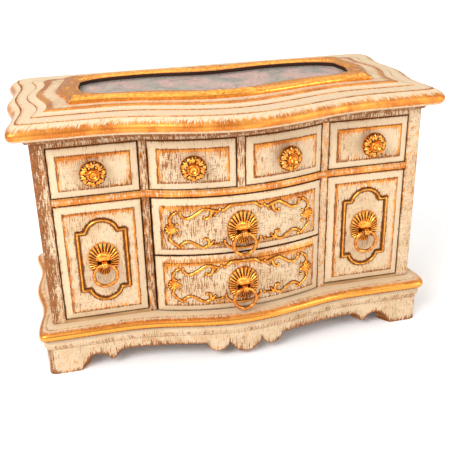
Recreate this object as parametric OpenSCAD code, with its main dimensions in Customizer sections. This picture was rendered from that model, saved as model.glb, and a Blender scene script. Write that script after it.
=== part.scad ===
/* [Case] */
// Width across the outside of the corner stiles
case_w = 324; // [316:1:332]
// Depth from the flat of the front to the back
case_d = 146; // [140:1:156]
// Height of the top of the case, where the lid closes
case_h = 202; // [201:0.5:204]
// Thickness of the side panels
side_t = 8; // [6:0.5:9]
// Width of the front edge of the two partitions
divider_w = 6.2; // [5:0.1:7]
// How far the middle of the front bows forward
front_bow = 15; // [10:1:18]
// Half of the width of the bowed middle
bow_half = 76; // [75:1:77]

/* [Drawers and doors] */
// Thickness of a flat front
front_t = 8; // [6:0.5:9]
// Width of the sloped border round each field
border_w = 6.5; // [5:0.5:8]
// How far each field stands proud of its border
field_h = 2; // [1:0.5:3]
// Gap round each drawer and door
gap = 0.8; // [0.6:0.1:1]
// Wall thickness of the drawer boxes
box_t = 3; // [2:0.5:4]
// Outer diameter of a knob
knob_d = 21.6; // [16:0.2:24]
// Outer diameter of a ring pull
ring_d = 21.5; // [20:0.5:22]
// Diameter of the wire of a ring pull
ring_wire = 3; // [2.4:0.1:3]
// Diameter of the door pivot pins
pivot_d = 2; // [1.6:0.1:2.2]

/* [Lid] */
// Height of the lid's moulding, from the case top to its flat top
lid_h = 17.7; // [16:0.1:18]
// Height of the raised step on the lid
step_h = 2.7; // [2:0.1:4]
// Height of the gilt frame on the step
frame_h = 5.6; // [4:0.1:7]
// How far the middle of the lid bows forward
lid_bow = 22; // [18:1:22]
// How far the rounded edge stands out past the flat top
round_out = 8; // [6:0.5:8]
// Thickness of the glass
glass_t = 1.5; // [1:0.1:1.6]

/* [Base] */
// Height of the top of the plinth
plinth_h = 42.6; // [40:0.2:44]
// Height of the underside of the plinth moulding
plinth_low = 24; // [22:1:28]
// Thickness of the aprons
apron_t = 9; // [7:0.5:10]

/* [Hidden] */

// Colours
cream = [0.90, 0.82, 0.69];
gold = [0.80, 0.58, 0.25];
wine = [0.45, 0.16, 0.18];
bare_wood = [0.70, 0.54, 0.36];
dusk_pink = [0.70, 0.62, 0.60];

// Places along the depth. The flat of the front is at face_y.
hinge_out = 2.1;
knuckle_r = 1.8;
front_reach = 6.5 + lid_bow + round_out;
total_d = front_reach + case_d + hinge_out + knuckle_r;
face_y = front_reach - total_d / 2;
back_y = face_y + case_d;
inner_y = face_y + 9.5;
panel_y = back_y - 6;

// Places across the width
stile_w = 11.2;
stile_x = case_w / 2 - stile_w;
side_in_x = case_w / 2 - 10;
divider_in_x = bow_half + 0.4 - divider_w / 2;
divider_out_x = divider_in_x + divider_w;
door_in_x = divider_out_x + gap;
door_out_x = stile_x - gap;
centre_x = divider_in_x - gap;

// Places up the height
sill_top = plinth_h + 2.5;
rail_low = 149;
rail_top = 154.8;
door_low = sill_top + gap;
door_top = rail_low - gap;
top_low = rail_top + gap;
top_rail_low = 197.3;
top_high = top_rail_low - gap;
tray_low = 183;
middle_z = 96.4;
tray_floor = tray_low + 2;
lid_low = case_h + 0.4;
lid_top = case_h + lid_h;
step_top = lid_top + step_h;

// The bowed middle of the front is an arc of this radius about bow_y
bow_r = (bow_half * bow_half + front_bow * front_bow) / (2 * front_bow);
bow_y = face_y + bow_r - front_bow;

// The drawer boxes start behind the thickest part of their fronts
box_y = face_y + front_t;
box_back_y = panel_y - 2;

// Door pivots stand near the face, so that an open door clears its stile
pivot_y = face_y + 1.8;
pivot_x = door_out_x - 3.4;

// Ring pulls hang from a claw in front of the field
ring_r = (ring_d - ring_wire) / 2;
ring_out = 6;
claw_z = -0.5;
claw_w = 4.4;
claw_bore_r = ring_wire / 2 + 0.35;

door_mid_x = 114.4;
knob_z = 176.5;
outer_knob_x = 116.5;
inner_knob_x = 38;

// A wave along the sides of the lid and the plinth
wave_mid = face_y + 69.5;
wave_len = 74.5;
function wave(y) = cos(360 * (y - wave_mid) / wave_len);

// A smooth forward swell of the front edges, zero past the half width
function swell(x, amount, half) = abs(x) < half ? amount * (1 + cos(180 * x / half)) / 2 : 0;

// An outline with a swelling front, waved sides and a straight back with cut corners
function outline(side, amp, front, amount, half, back, cut) =
    let (
        corner = side + amp * wave(front),
        n = 40,
        m = 16,
        y1 = back - cut
    )
    concat(
        [for (i = [0 : n]) let (x = corner * (2 * i / n - 1)) [x, front - swell(x, amount, half)]],
        [for (i = [1 : m]) let (y = front + (y1 - front) * i / m) [side + amp * wave(y), y]],
        [[side + amp * wave(y1) - cut, back], [cut - side - amp * wave(y1), back]],
        [for (i = [m : -1 : 1]) let (y = front + (y1 - front) * i / m) [-side - amp * wave(y), y]]
    );

// A slice of the lid's moulding, standing out by grow past its flat top
module lid_slice(grow, z0, z1) {
    translate([0, 0, z0])
        linear_extrude(z1 - z0)
            polygon(outline(167.4 + grow, 2.4, face_y - 6.5 - grow, lid_bow, 115, back_y, 9));
}

// A slice of the plinth, standing out by grow past its bead line
module plinth_slice(grow, z0, z1) {
    translate([0, 0, z0])
        linear_extrude(z1 - z0)
            polygon(outline(165.6 + grow, 2.4, face_y - 8 - grow, front_bow, 105, back_y, 1));
}

// A box given by its two far corners
module block(low, high) {
    translate(low)
        cube(high - low);
}

// The solid behind a bowed face of radius r, as tall as the case
module bow_core(r) {
    translate([0, bow_y, 0])
        cylinder(r = r, h = case_h, $fn = 96);
}

// What stands in front of the bowed or the flat face, out to a depth of out
module bowed_block(x0, x1, z0, z1, y1, out) {
    intersection() {
        bow_core(bow_r + out);
        block([x0, face_y - front_bow - out - 1, z0], [x1, y1, z1]);
    }
}

// ---- Base -------------------------------------------------------------

// The long arch, the cusps beside the feet and the three lobes in the middle of the front apron
arch_x = 103.5;
arch_top = 15.5;
cusp_z = 7;

module apron_gap_front() {
    difference() {
        union() {
            translate([-arch_x, -10])
                square([2 * arch_x, 10 + arch_top]);
            translate([-139, -10])
                square([278, 10 + cusp_z]);
            for (s = [-1, 1]) {
                translate([s * arch_x, arch_top - 10])
                    circle(r = 10, $fn = 48);
                translate([s * 127.5, 2])
                    circle(r = 12, $fn = 48);
            }
        }
        translate([0, 18.5])
            circle(r = 14.3, $fn = 64);
        for (s = [-1, 1])
            translate([s * 24.5, 16.5])
                circle(r = 9.5, $fn = 48);
    }
}

// A gap cutter drawn in x and z, run along y
module along_y(y0, y1) {
    translate([0, y1, 0])
        rotate([90, 0, 0])
            linear_extrude(y1 - y0)
                children();
}

module apron_ring(z1) {
    difference() {
        plinth_slice(2, 0, z1);
        translate([0, 0, -1])
            linear_extrude(z1 + 2)
                polygon(outline(165.6 + 2 - apron_t, 2.4, face_y - 10 + apron_t,
                    front_bow, 105, back_y - apron_t, 1));
    }
}

// Where the side aprons meet the front and the back one
corner_y = face_y - 10 + apron_t;
corner_x = 140;

module front_apron() {
    color(cream)
        difference() {
            intersection() {
                apron_ring(plinth_low);
                block([-180, face_y - 40, 0], [180, corner_y, plinth_low]);
            }
            along_y(face_y - 50, face_y + 20)
                apron_gap_front();
        }
}

// The arch under a side apron, drawn in y and z
module side_gap() {
    translate([(corner_y + back_y) / 2, 0])
        square([case_d - 46, 28], center = true);
    for (s = [-1, 1])
        translate([(corner_y + back_y) / 2 + s * (case_d / 2 - 23), 0])
            circle(r = 14, $fn = 48);
}

module side_apron(s) {
    color(cream)
        difference() {
            intersection() {
                apron_ring(plinth_low);
                mirror([s < 0 ? 1 : 0, 0, 0])
                    block([corner_x, corner_y, 0], [180, back_y, plinth_low]);
            }
            rotate([90, 0, 90])
                translate([0, 0, -200])
                    linear_extrude(400)
                        side_gap();
        }
}

module left_apron() { side_apron(-1); }
module right_apron() { side_apron(1); }

module back_apron() {
    color(cream)
        difference() {
            block([-corner_x, back_y - apron_t, 0], [corner_x, back_y, plinth_low]);
            along_y(back_y - 20, back_y + 5) {
                square([240, 24], center = true);
                for (s = [-1, 1])
                    translate([s * 120, 0])
                        circle(r = 12, $fn = 48);
            }
        }
}

// A cream cove below and a rounded gilt band above, round an open middle
module plinth_moulding() {
    color(gold)
        difference() {
            union() {
                plinth_slice(2, plinth_low, 27);
                plinth_slice(3.5, 27, 31);
                plinth_slice(1.5, 31, 34);
                plinth_slice(5, 34, 36);
                plinth_slice(6.3, 36, 40.5);
                plinth_slice(4, 40.5, 42);
                plinth_slice(0, 42, plinth_h);
            }
            block([-150, face_y + 6, plinth_low - 1], [150, panel_y, plinth_h + 1]);
        }
}

// The floor of the case, with a sill under each door
module base_board() {
    color(cream) {
        block([-150, face_y + 6, plinth_h - 6], [150, panel_y, plinth_h]);
        for (s = [-1, 1])
            mirror([s < 0 ? 1 : 0, 0, 0])
                block([divider_out_x, face_y, plinth_h], [stile_x, inner_y, sill_top]);
    }
}

// ---- Case -------------------------------------------------------------

module side_panel(s) {
    color(cream)
        mirror([s < 0 ? 1 : 0, 0, 0]) {
            block([side_in_x, inner_y, plinth_h], [side_in_x + side_t, back_y, case_h]);
            block([side_in_x + side_t, inner_y + 20, plinth_h + 18],
                [side_in_x + side_t + 1.5, back_y - 18, case_h - 18]);
        }
}

module left_side() { side_panel(-1); }
module right_side() { side_panel(1); }

// A stile has a canted outer corner
module stile(s) {
    color(cream)
        mirror([s < 0 ? 1 : 0, 0, 0])
            translate([0, 0, plinth_h])
                linear_extrude(case_h - plinth_h)
                    polygon([
                        [stile_x, face_y], [case_w / 2 - 2, face_y], [case_w / 2, face_y + 2],
                        [case_w / 2, inner_y], [stile_x, inner_y]
                    ]);
}

module left_stile() { stile(-1); }
module right_stile() { stile(1); }

module partition(s) {
    color(cream)
        mirror([s < 0 ? 1 : 0, 0, 0])
            block([divider_in_x, face_y, plinth_h], [divider_out_x, panel_y, rail_low]);
}

module left_partition() { partition(-1); }
module right_partition() { partition(1); }

module front_strip(z0, z1) {
    intersection() {
        union() {
            bowed_block(-bow_half, bow_half, z0, z1, inner_y, 0);
            block([-stile_x, face_y, z0], [stile_x, inner_y, z1]);
        }
        block([-stile_x, face_y - 30, z0], [stile_x, inner_y, z1]);
    }
}

module mid_rail() {
    color(gold)
        front_strip(rail_low, rail_top);
}

module drawer_shelf() {
    color(bare_wood)
        block([-side_in_x, inner_y, rail_low], [side_in_x, panel_y, rail_top]);
}

module top_rail() {
    color(cream)
        front_strip(top_rail_low, case_h);
}

module upper_dividers() {
    color(cream) {
        for (s = [-1, 1])
            mirror([s < 0 ? 1 : 0, 0, 0]) {
                block([divider_in_x, face_y, rail_top], [divider_out_x, inner_y, top_rail_low]);
                block([divider_in_x, inner_y, rail_top], [divider_out_x, panel_y, tray_low]);
            }
        bowed_block(-divider_w / 2, divider_w / 2, rail_top, top_rail_low, inner_y, 0);
        block([-divider_w / 2, inner_y, rail_top], [divider_w / 2, panel_y, tray_low]);
    }
}

module back_panel() {
    color(cream)
        block([-side_in_x, panel_y, plinth_h], [side_in_x, back_y, case_h]);
}

tray_t = 3;
tray_wall_x = 52;

module upper_tray() {
    color(wine)
        difference() {
            block([-side_in_x, inner_y, tray_low], [side_in_x, panel_y, case_h - 0.5]);
            for (x = [[-side_in_x + tray_t, -tray_wall_x - tray_t], [-tray_wall_x, tray_wall_x],
                    [tray_wall_x + tray_t, side_in_x - tray_t]])
                block([x[0], inner_y + tray_t, tray_floor], [x[1], panel_y - tray_t, case_h + 1]);
        }
}

roll_r = 5.9;
roll_count = 10;
roll_step = 12.4;

module ring_rolls() {
    color(wine)
        for (i = [0 : roll_count - 1])
            translate([-tray_wall_x + 1.5, inner_y + tray_t + 6.4 + i * roll_step, tray_floor + roll_r])
                rotate([0, 90, 0])
                    cylinder(r = roll_r, h = 2 * tray_wall_x - 3, $fn = 32);
}

// A rail with hooks under the shelf of each side compartment, for necklaces
module hook_rails() {
    color(gold)
        for (s = [-1, 1])
            mirror([s < 0 ? 1 : 0, 0, 0]) {
                block([door_in_x + 6, 20, rail_low - 5], [side_in_x - 6, 26, rail_low]);
                for (i = [0 : 3])
                    translate([door_in_x + 16 + i * 13, 23, rail_low - 5]) {
                        mirror([0, 0, 1])
                            cylinder(d = 2, h = 8, $fn = 24);
                        translate([0, 1, -8])
                            rotate([90, 0, 0])
                                cylinder(d = 2, h = 8, $fn = 24);
                    }
            }
}

runner_w = 6;

module drawer_runners() {
    color(bare_wood)
        for (s = [-1, 1])
            mirror([s < 0 ? 1 : 0, 0, 0])
                block([divider_in_x - runner_w, inner_y + 2, 90.5], [divider_in_x, panel_y, 97.2]);
}

pin_in = 5;

module door_pivots() {
    color(gold)
        for (s = [-1, 1])
            translate([s * pivot_x, pivot_y, 0]) {
                translate([0, 0, sill_top])
                    cylinder(d = pivot_d, h = gap + pin_in, $fn = 32);
                translate([0, 0, door_top - pin_in])
                    cylinder(d = pivot_d, h = pin_in + gap, $fn = 32);
            }
}

// ---- Lid hinges -------------------------------------------------------

hinge_x = 95;
hinge_w = 22;
knuckle_w = 7;
leaf_t = 0.9;
hinge_y = back_y + hinge_out;
hinge_z = case_h + 0.2;
hinge_pin_r = 0.8;

module knuckle(x0, x1) {
    translate([x0, hinge_y, hinge_z])
        rotate([0, 90, 0])
            cylinder(r = knuckle_r, h = x1 - x0, $fn = 32);
}

module hinge_pin(x0, x1, r) {
    translate([x0, hinge_y, hinge_z])
        rotate([0, 90, 0])
            cylinder(r = r, h = x1 - x0, $fn = 32);
}

module case_hinge_leaves() {
    color(gold)
        for (s = [-1, 1])
            translate([s * hinge_x, 0, 0]) {
                block([-hinge_w / 2, back_y, hinge_z - 13], [hinge_w / 2, back_y + leaf_t, hinge_z - 2.4]);
                for (m = [0, 1])
                    mirror([m, 0, 0]) {
                        block([knuckle_w / 2 + 0.3, back_y, hinge_z - 3],
                            [hinge_w / 2, back_y + leaf_t, hinge_z]);
                        knuckle(knuckle_w / 2 + 0.3, hinge_w / 2);
                    }
                hinge_pin(-hinge_w / 2, hinge_w / 2, hinge_pin_r);
            }
}

module lid_hinge_leaves() {
    color(gold)
        for (s = [-1, 1])
            translate([s * hinge_x, 0, 0])
                difference() {
                    union() {
                        block([-hinge_w / 2, back_y, hinge_z + 2.4], [hinge_w / 2, back_y + leaf_t, hinge_z + 13]);
                        block([-knuckle_w / 2, back_y, hinge_z], [knuckle_w / 2, back_y + leaf_t, hinge_z + 3]);
                        knuckle(-knuckle_w / 2, knuckle_w / 2);
                    }
                    hinge_pin(-knuckle_w, knuckle_w, hinge_pin_r + 0.06);
                }
}

// ---- Lid --------------------------------------------------------------

lid_panel_t = 5.2;
lid_hollow_x = 148;

module lid_moulding() {
    color(cream)
        difference() {
            union() {
                lid_slice(-3.5, lid_low, lid_low + 2.4);
                lid_slice(-0.5, lid_low + 2.4, lid_low + 4.6);
                lid_slice(5.5, lid_low + 4.6, lid_low + 6.6);
                lid_slice(round_out, lid_low + 6.6, lid_low + 12);
                lid_slice(5.5, lid_low + 12, lid_low + 14.6);
                lid_slice(2, lid_low + 14.6, lid_low + 16.4);
                lid_slice(0, lid_low + 16.4, lid_top);
            }
            block([-lid_hollow_x, face_y + 8, lid_low - 1], [lid_hollow_x, panel_y, lid_top - lid_panel_t]);
        }
}

window_x = 118;
window_front = face_y + 40.5;
window_back = face_y + 100;

// The shape of the window: both long sides swell in the middle and the ends are pointed
function window_points(g) = concat(
    [for (i = [0 : 16]) let (x = (window_x - 3) * (i / 8 - 1))
        [x, window_front - g - swell(x, 17, 75) + 14 * pow(abs(x) / window_x, 8)]],
    [[window_x + g, face_y + 66]],
    [for (i = [16 : -1 : 0]) let (x = (window_x - 3) * (i / 8 - 1))
        [x, window_back + g - swell(x, 7, 60) - 16 * pow(abs(x) / window_x, 8)]],
    [[-window_x - g, face_y + 66]]
);

module lid_step() {
    color(cream)
        difference() {
            union() {
                translate([0, 0, lid_top])
                    linear_extrude(step_h * 0.55)
                        polygon(outline(151, 3.8, face_y + 13.5, 21, 105, face_y + 125, 6));
                translate([0, 0, lid_top + step_h * 0.55])
                    linear_extrude(step_h * 0.45)
                        polygon(outline(147.5, 3.8, face_y + 17.5, 21, 105, face_y + 121, 6));
            }
            translate([0, 0, lid_top - 1])
                linear_extrude(step_h + 2)
                    polygon(window_points(2.3));
        }
}

module gilt_frame() {
    color(gold)
        translate([0, 0, step_top])
            difference() {
                union() {
                    linear_extrude(frame_h * 0.6)
                        polygon(outline(131.5, 3.5, face_y + 28, 19, 108, face_y + 114, 5));
                    translate([0, 0, frame_h * 0.6])
                        linear_extrude(frame_h * 0.4)
                            polygon(outline(127.5, 3.5, face_y + 32, 19, 108, face_y + 110, 5));
                }
                translate([0, 0, -1])
                    linear_extrude(frame_h + 2)
                        polygon(window_points(0));
            }
}

module print_panel() {
    color(dusk_pink)
        translate([0, 0, lid_top])
            linear_extrude(step_h - glass_t)
                polygon(window_points(2));
}

module window_glass() {
    color([0.8, 0.85, 0.85, 0.35])
        translate([0, 0, step_top - glass_t])
            linear_extrude(glass_t)
                polygon(window_points(2));
}

module lid_mirror() {
    color([0.75, 0.78, 0.8])
        block([-120, face_y + 24, lid_top - lid_panel_t - 1.5], [120, panel_y - 16, lid_top - lid_panel_t]);
}

// ---- Drawers ----------------------------------------------------------

// A flat front with its raised field
module flat_front(x0, x1, z0, z1) {
    color(cream) {
        block([x0, face_y, z0], [x1, box_y, z1]);
        block([x0 + border_w, face_y - field_h, z0 + border_w], [x1 - border_w, face_y, z1 - border_w]);
    }
}

// A bowed front with its raised field
module bowed_front(x0, x1, z0, z1) {
    color(cream) {
        bowed_block(x0, x1, z0, z1, box_y, 0);
        difference() {
            bowed_block(x0 + border_w, x1 - border_w, z0 + border_w, z1 - border_w, box_y, field_h);
            bow_core(bow_r);
        }
    }
}

module drawer_box(x0, x1, z0, z1) {
    color(bare_wood)
        difference() {
            block([x0, box_y, z0], [x1, box_back_y, z1]);
            block([x0 + box_t, box_y + box_t, z0 + 2.5], [x1 - box_t, box_back_y - box_t, z1 + 1]);
        }
}

// A knob is a dome with a rolled rim and a dished button, on a short neck
module knob() {
    color(gold)
        rotate([90, 0, 0])
            rotate_extrude($fn = 64)
                polygon([
                    [0, 0], [6, 0], [5, 3], [7, 4], [knob_d / 2 - 0.6, 4.6], [knob_d / 2, 6],
                    [knob_d / 2 - 1, 7.4], [7.6, 9.6], [5.2, 10.2], [4.8, 12], [3.6, 12], [0, 10.6]
                ]);
}

top_box_z = [155.4, 180.5];
top_x = [divider_w / 2 + gap, centre_x];

module top_outer_front(s) {
    mirror([s < 0 ? 1 : 0, 0, 0])
        flat_front(door_in_x, door_out_x, top_low, top_high);
}

module top_inner_front(s) {
    mirror([s < 0 ? 1 : 0, 0, 0])
        bowed_front(top_x[0], top_x[1], top_low, top_high);
}

module top_outer_box(s) {
    mirror([s < 0 ? 1 : 0, 0, 0])
        drawer_box(door_in_x + 1, door_out_x - 1, top_box_z[0], top_box_z[1]);
}

module top_inner_box(s) {
    mirror([s < 0 ? 1 : 0, 0, 0])
        drawer_box(top_x[0] + 0.6, top_x[1] - 0.6, top_box_z[0], top_box_z[1]);
}

module outer_knob(s) {
    translate([s * outer_knob_x, face_y - field_h, knob_z])
        knob();
}

module inner_knob(s) {
    turn = asin(inner_knob_x / bow_r);
    translate([0, bow_y, knob_z])
        rotate([0, 0, s * turn])
            translate([0, -bow_r - field_h + 0.1, 0])
                knob();
}

module drawer_1_front() { top_outer_front(-1); }
module drawer_1_box() { top_outer_box(-1); }
module drawer_1_knob() { outer_knob(-1); }
module drawer_2_front() { top_inner_front(-1); }
module drawer_2_box() { top_inner_box(-1); }
module drawer_2_knob() { inner_knob(-1); }
module drawer_3_front() { top_inner_front(1); }
module drawer_3_box() { top_inner_box(1); }
module drawer_3_knob() { inner_knob(1); }
module drawer_4_front() { top_outer_front(1); }
module drawer_4_box() { top_outer_box(1); }
module drawer_4_knob() { outer_knob(1); }

module drawer_5_front() { bowed_front(-centre_x, centre_x, middle_z + 0.5, door_top); }
module drawer_5_box() { drawer_box(-centre_x + 0.6, centre_x - 0.6, middle_z + 1.1, 140); }
module drawer_6_front() { bowed_front(-centre_x, centre_x, plinth_h + 0.8, middle_z - 0.3); }
module drawer_6_box() { drawer_box(-centre_x + 0.6, centre_x - 0.6, plinth_h + 0.5, 88); }

// ---- Metal fittings ---------------------------------------------------

// A shell-shaped back plate in x and z: a wide fan above and a small lip below
module shell_outline() {
    difference() {
        union() {
            circle(d = 25, $fn = 48);
            translate([0, 6.5])
                circle(d = 23, $fn = 48);
        }
        translate([-13, -16.5])
            square([26, 10]);
    }
    translate([0, -5.8])
        circle(d = 12, $fn = 32);
}

// The plate's centre is at the origin and its claw holds the ring's top.
// back is how far the plate is let into a bowed field.
module shell_plate(back) {
    color(gold)
        difference() {
            union() {
                translate([0, back, 0])
                    rotate([90, 0, 0])
                        linear_extrude(back + 2.2)
                            shell_outline();
                translate([-claw_w / 2, -ring_out, claw_z])
                    rotate([0, 90, 0])
                        cylinder(r = 3, h = claw_w, $fn = 32);
                block([-claw_w / 2, -ring_out, claw_z - 3], [claw_w / 2, 0, claw_z + 3]);
            }
            translate([-claw_w, -ring_out, claw_z])
                rotate([0, 90, 0])
                    cylinder(r = claw_bore_r, h = 2 * claw_w, $fn = 32);
        }
}

// A ring whose top passes through the claw of a plate at the origin
module ring_pull() {
    color(gold)
        translate([0, -ring_out, claw_z - ring_r])
            rotate([90, 0, 0])
                rotate_extrude($fn = 64)
                    translate([ring_r, 0])
                        circle(d = ring_wire, $fn = 24);
}

door_plate_z = 97;
plate_5_z = 117;
plate_6_z = plate_5_z - 51.5;
flat_field_y = face_y - field_h;
bow_field_y = bow_y - bow_r - field_h;
plate_sink = 0.4;

module drawer_5_plate() { translate([0, bow_field_y, plate_5_z]) shell_plate(plate_sink); }
module drawer_6_plate() { translate([0, bow_field_y, plate_6_z]) shell_plate(plate_sink); }
module drawer_5_ring() { translate([0, bow_field_y, plate_5_z]) ring_pull(); }
module drawer_6_ring() { translate([0, bow_field_y, plate_6_z]) ring_pull(); }
module left_door_plate() { translate([-door_mid_x, flat_field_y, door_plate_z]) shell_plate(0); }
module right_door_plate() { translate([door_mid_x, flat_field_y, door_plate_z]) shell_plate(0); }
module left_door_ring() { translate([-door_mid_x, flat_field_y, door_plate_z]) ring_pull(); }
module right_door_ring() { translate([door_mid_x, flat_field_y, door_plate_z]) ring_pull(); }

// A flat strap of even width along a line of points
function turned(d, w) = [-d[1], d[0]] * w / (2 * norm(d));
function heading(p, i) = p[min(i + 1, len(p) - 1)] - p[max(i - 1, 0)];
function strap_points(p, w) = concat(
    [for (i = [0 : len(p) - 1]) p[i] + turned(heading(p, i), w)],
    [for (i = [len(p) - 1 : -1 : 0]) p[i] - turned(heading(p, i), w)]
);

module strap(p, w) {
    polygon(strap_points(p, w));
}

// One half of the scrollwork, about the middle of a drawer's field
module half_scroll() {
    strap([[1, 20], [-10, 20.2], [-16, 15.2], [-24, 16.2], [-31, 16.6], [-38, 13.9], [-46.3, 10.2],
        [-55.6, 13.5], [-60, 8], [-62, 1], [-60.4, -6.4], [-53, -15.5]], 2.4);
    strap([[1, -19.2], [-10.3, -18.3], [-18.8, -13.5], [-27.2, -13.8], [-33, -16.3], [-44.2, -10.6],
        [-53, -15.5]], 2.4);
    translate([-60, 0])
        circle(r = 5.5, $fn = 32);
}

scroll_h = 1.8;

// Scrollwork laid on the bowed field of a centre drawer, about a height z
module scrollwork(z) {
    color(gold)
        difference() {
            intersection() {
                bow_core(bow_r + field_h + scroll_h);
                translate([0, face_y, z])
                    rotate([90, 0, 0])
                        linear_extrude(front_bow + 10)
                            union() {
                                half_scroll();
                                mirror([1, 0])
                                    half_scroll();
                            }
            }
            bow_core(bow_r + field_h);
        }
}

scroll_5_z = 121;

module drawer_5_scrollwork() { scrollwork(scroll_5_z); }
module drawer_6_scrollwork() { scrollwork(scroll_5_z - 51.5); }

// ---- Doors ------------------------------------------------------------

module door_panel(s) {
    color(cream)
        mirror([s < 0 ? 1 : 0, 0, 0])
            difference() {
                union() {
                    block([door_in_x, face_y, door_low], [door_out_x, box_y, door_top]);
                    block([door_in_x + border_w, flat_field_y, door_low + border_w],
                        [door_out_x - border_w, face_y, door_top - border_w]);
                }
                for (z = [door_low - 1, door_top - pin_in - 0.5])
                    translate([pivot_x, pivot_y, z])
                        cylinder(r = pivot_d / 2 + 0.06, h = pin_in + 1.5, $fn = 32);
            }
}

door_frame_w = 38.6;
door_frame_z = [72.8, 124.6];
arch_r = 13.45;
arch_rise = 10;

// The outline of the door's gilt frame: a box with ledges and an arch at each end
module door_frame_shape(g) {
    translate([-door_frame_w / 2 - g, door_frame_z[0] - g])
        square([door_frame_w + 2 * g, door_frame_z[1] - door_frame_z[0] + 2 * g]);
    for (z = [door_frame_z[1] + arch_rise - arch_r, door_frame_z[0] - arch_rise + arch_r])
        translate([0, z])
            circle(r = arch_r + g, $fn = 64);
}

module door_frame(s) {
    color(gold)
        translate([s * door_mid_x, flat_field_y, 0])
            rotate([90, 0, 0])
                linear_extrude(2)
                    difference() {
                        door_frame_shape(1.5);
                        door_frame_shape(-1.5);
                    }
}

module left_door_panel() { door_panel(-1); }
module left_door_frame() { door_frame(-1); }
module right_door_panel() { door_panel(1); }
module right_door_frame() { door_frame(1); }

front_apron();
left_apron();
right_apron();
back_apron();
plinth_moulding();
base_board();
left_side();
right_side();
left_stile();
right_stile();
left_partition();
right_partition();
mid_rail();
drawer_shelf();
top_rail();
upper_dividers();
back_panel();
upper_tray();
ring_rolls();
hook_rails();
drawer_runners();
door_pivots();
case_hinge_leaves();
lid_moulding();
lid_step();
gilt_frame();
window_glass();
print_panel();
lid_mirror();
lid_hinge_leaves();
drawer_1_front();
drawer_1_box();
drawer_1_knob();
drawer_2_front();
drawer_2_box();
drawer_2_knob();
drawer_3_front();
drawer_3_box();
drawer_3_knob();
drawer_4_front();
drawer_4_box();
drawer_4_knob();
drawer_5_front();
drawer_5_box();
drawer_5_scrollwork();
drawer_5_plate();
drawer_5_ring();
drawer_6_front();
drawer_6_box();
drawer_6_scrollwork();
drawer_6_plate();
drawer_6_ring();
left_door_panel();
left_door_frame();
left_door_plate();
left_door_ring();
right_door_panel();
right_door_frame();
right_door_plate();
right_door_ring();
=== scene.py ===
import math

import bmesh
import bpy
import numpy as np
from mathutils import Euler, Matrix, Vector


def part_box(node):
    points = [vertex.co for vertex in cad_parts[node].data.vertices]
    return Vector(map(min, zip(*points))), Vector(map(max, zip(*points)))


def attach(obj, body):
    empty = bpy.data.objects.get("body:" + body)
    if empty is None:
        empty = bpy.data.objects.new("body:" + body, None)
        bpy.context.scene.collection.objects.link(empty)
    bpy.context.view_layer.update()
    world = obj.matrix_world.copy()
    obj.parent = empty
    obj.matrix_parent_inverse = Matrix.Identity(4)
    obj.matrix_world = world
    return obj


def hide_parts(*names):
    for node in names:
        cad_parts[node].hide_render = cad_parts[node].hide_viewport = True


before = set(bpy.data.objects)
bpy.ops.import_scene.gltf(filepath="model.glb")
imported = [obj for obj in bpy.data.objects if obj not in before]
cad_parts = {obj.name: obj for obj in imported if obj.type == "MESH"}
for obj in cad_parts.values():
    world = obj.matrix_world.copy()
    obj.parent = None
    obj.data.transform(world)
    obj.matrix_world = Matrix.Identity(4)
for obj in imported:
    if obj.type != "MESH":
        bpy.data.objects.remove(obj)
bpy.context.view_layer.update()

MM = 0.001


# ---- Places taken from the frame, in millimetres ------------------------

def box_mm(node):
    low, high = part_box(node)
    return np.array(low) / MM, np.array(high) / MM


FACE = box_mm("left_stile")[0][1]        # the flat of the front
BACK = box_mm("back_panel")[1][1]
LID_LOW, LID_TOP = box_mm("lid_moulding")[0][2], box_mm("lid_step")[0][2]
STEP_TOP = box_mm("lid_step")[1][2]
PLINTH_LOW, PLINTH_TOP = box_mm("plinth_moulding")[0][2], box_mm("plinth_moulding")[1][2]
BOW, BOW_HALF = 15.0, 76.0               # how far the middle swells, over half its width
BOW_R = (BOW_HALF ** 2 + BOW ** 2) / (2 * BOW)
BOW_Y = FACE + BOW_R - BOW
BORDER, FIELD = 6.5, 2.0                 # a front's border, and how far its field is sunk
WAVE_MID, WAVE_LEN = FACE + 69.5, 74.5
RAIL_HALF = 150.8
GAP_SHADE = 1.3                           # the painted shade of an edge inside a gap


def bowed_y(x):
    return BOW_Y - np.sqrt(np.maximum(BOW_R ** 2 - x ** 2, 0))


def face_line(x):
    """The plane of the front at x: flat wings and the bowed middle."""
    return np.where(np.abs(x) < BOW_HALF, bowed_y(x), FACE)


# ---- Mesh helpers -------------------------------------------------------

def make_object(name, verts, faces, material, body, attrs, smooth):
    """A mesh object from points in millimetres, riding on a body."""
    mesh = bpy.data.meshes.new(name)
    mesh.from_pydata((verts * MM).tolist(), [], [list(map(int, f)) for f in faces])
    for key, values in attrs.items():
        kind, field = ("FLOAT_VECTOR", "vector") if values.ndim == 2 else ("FLOAT", "value")
        mesh.attributes.new(key, kind, "POINT").data.foreach_set(field, values.ravel())
    obj = bpy.data.objects.new(name, mesh)
    bpy.context.scene.collection.objects.link(obj)
    bm = bmesh.new()
    bm.from_mesh(mesh)
    bmesh.ops.remove_doubles(bm, verts=bm.verts, dist=1e-6)
    bmesh.ops.recalc_face_normals(bm, faces=bm.faces)
    bm.to_mesh(mesh)
    bm.free()
    mesh.shade_smooth()
    mesh.set_sharp_from_angle(angle=math.radians(smooth))
    mesh.materials.append(material)
    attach(obj, body)
    return obj


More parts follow.
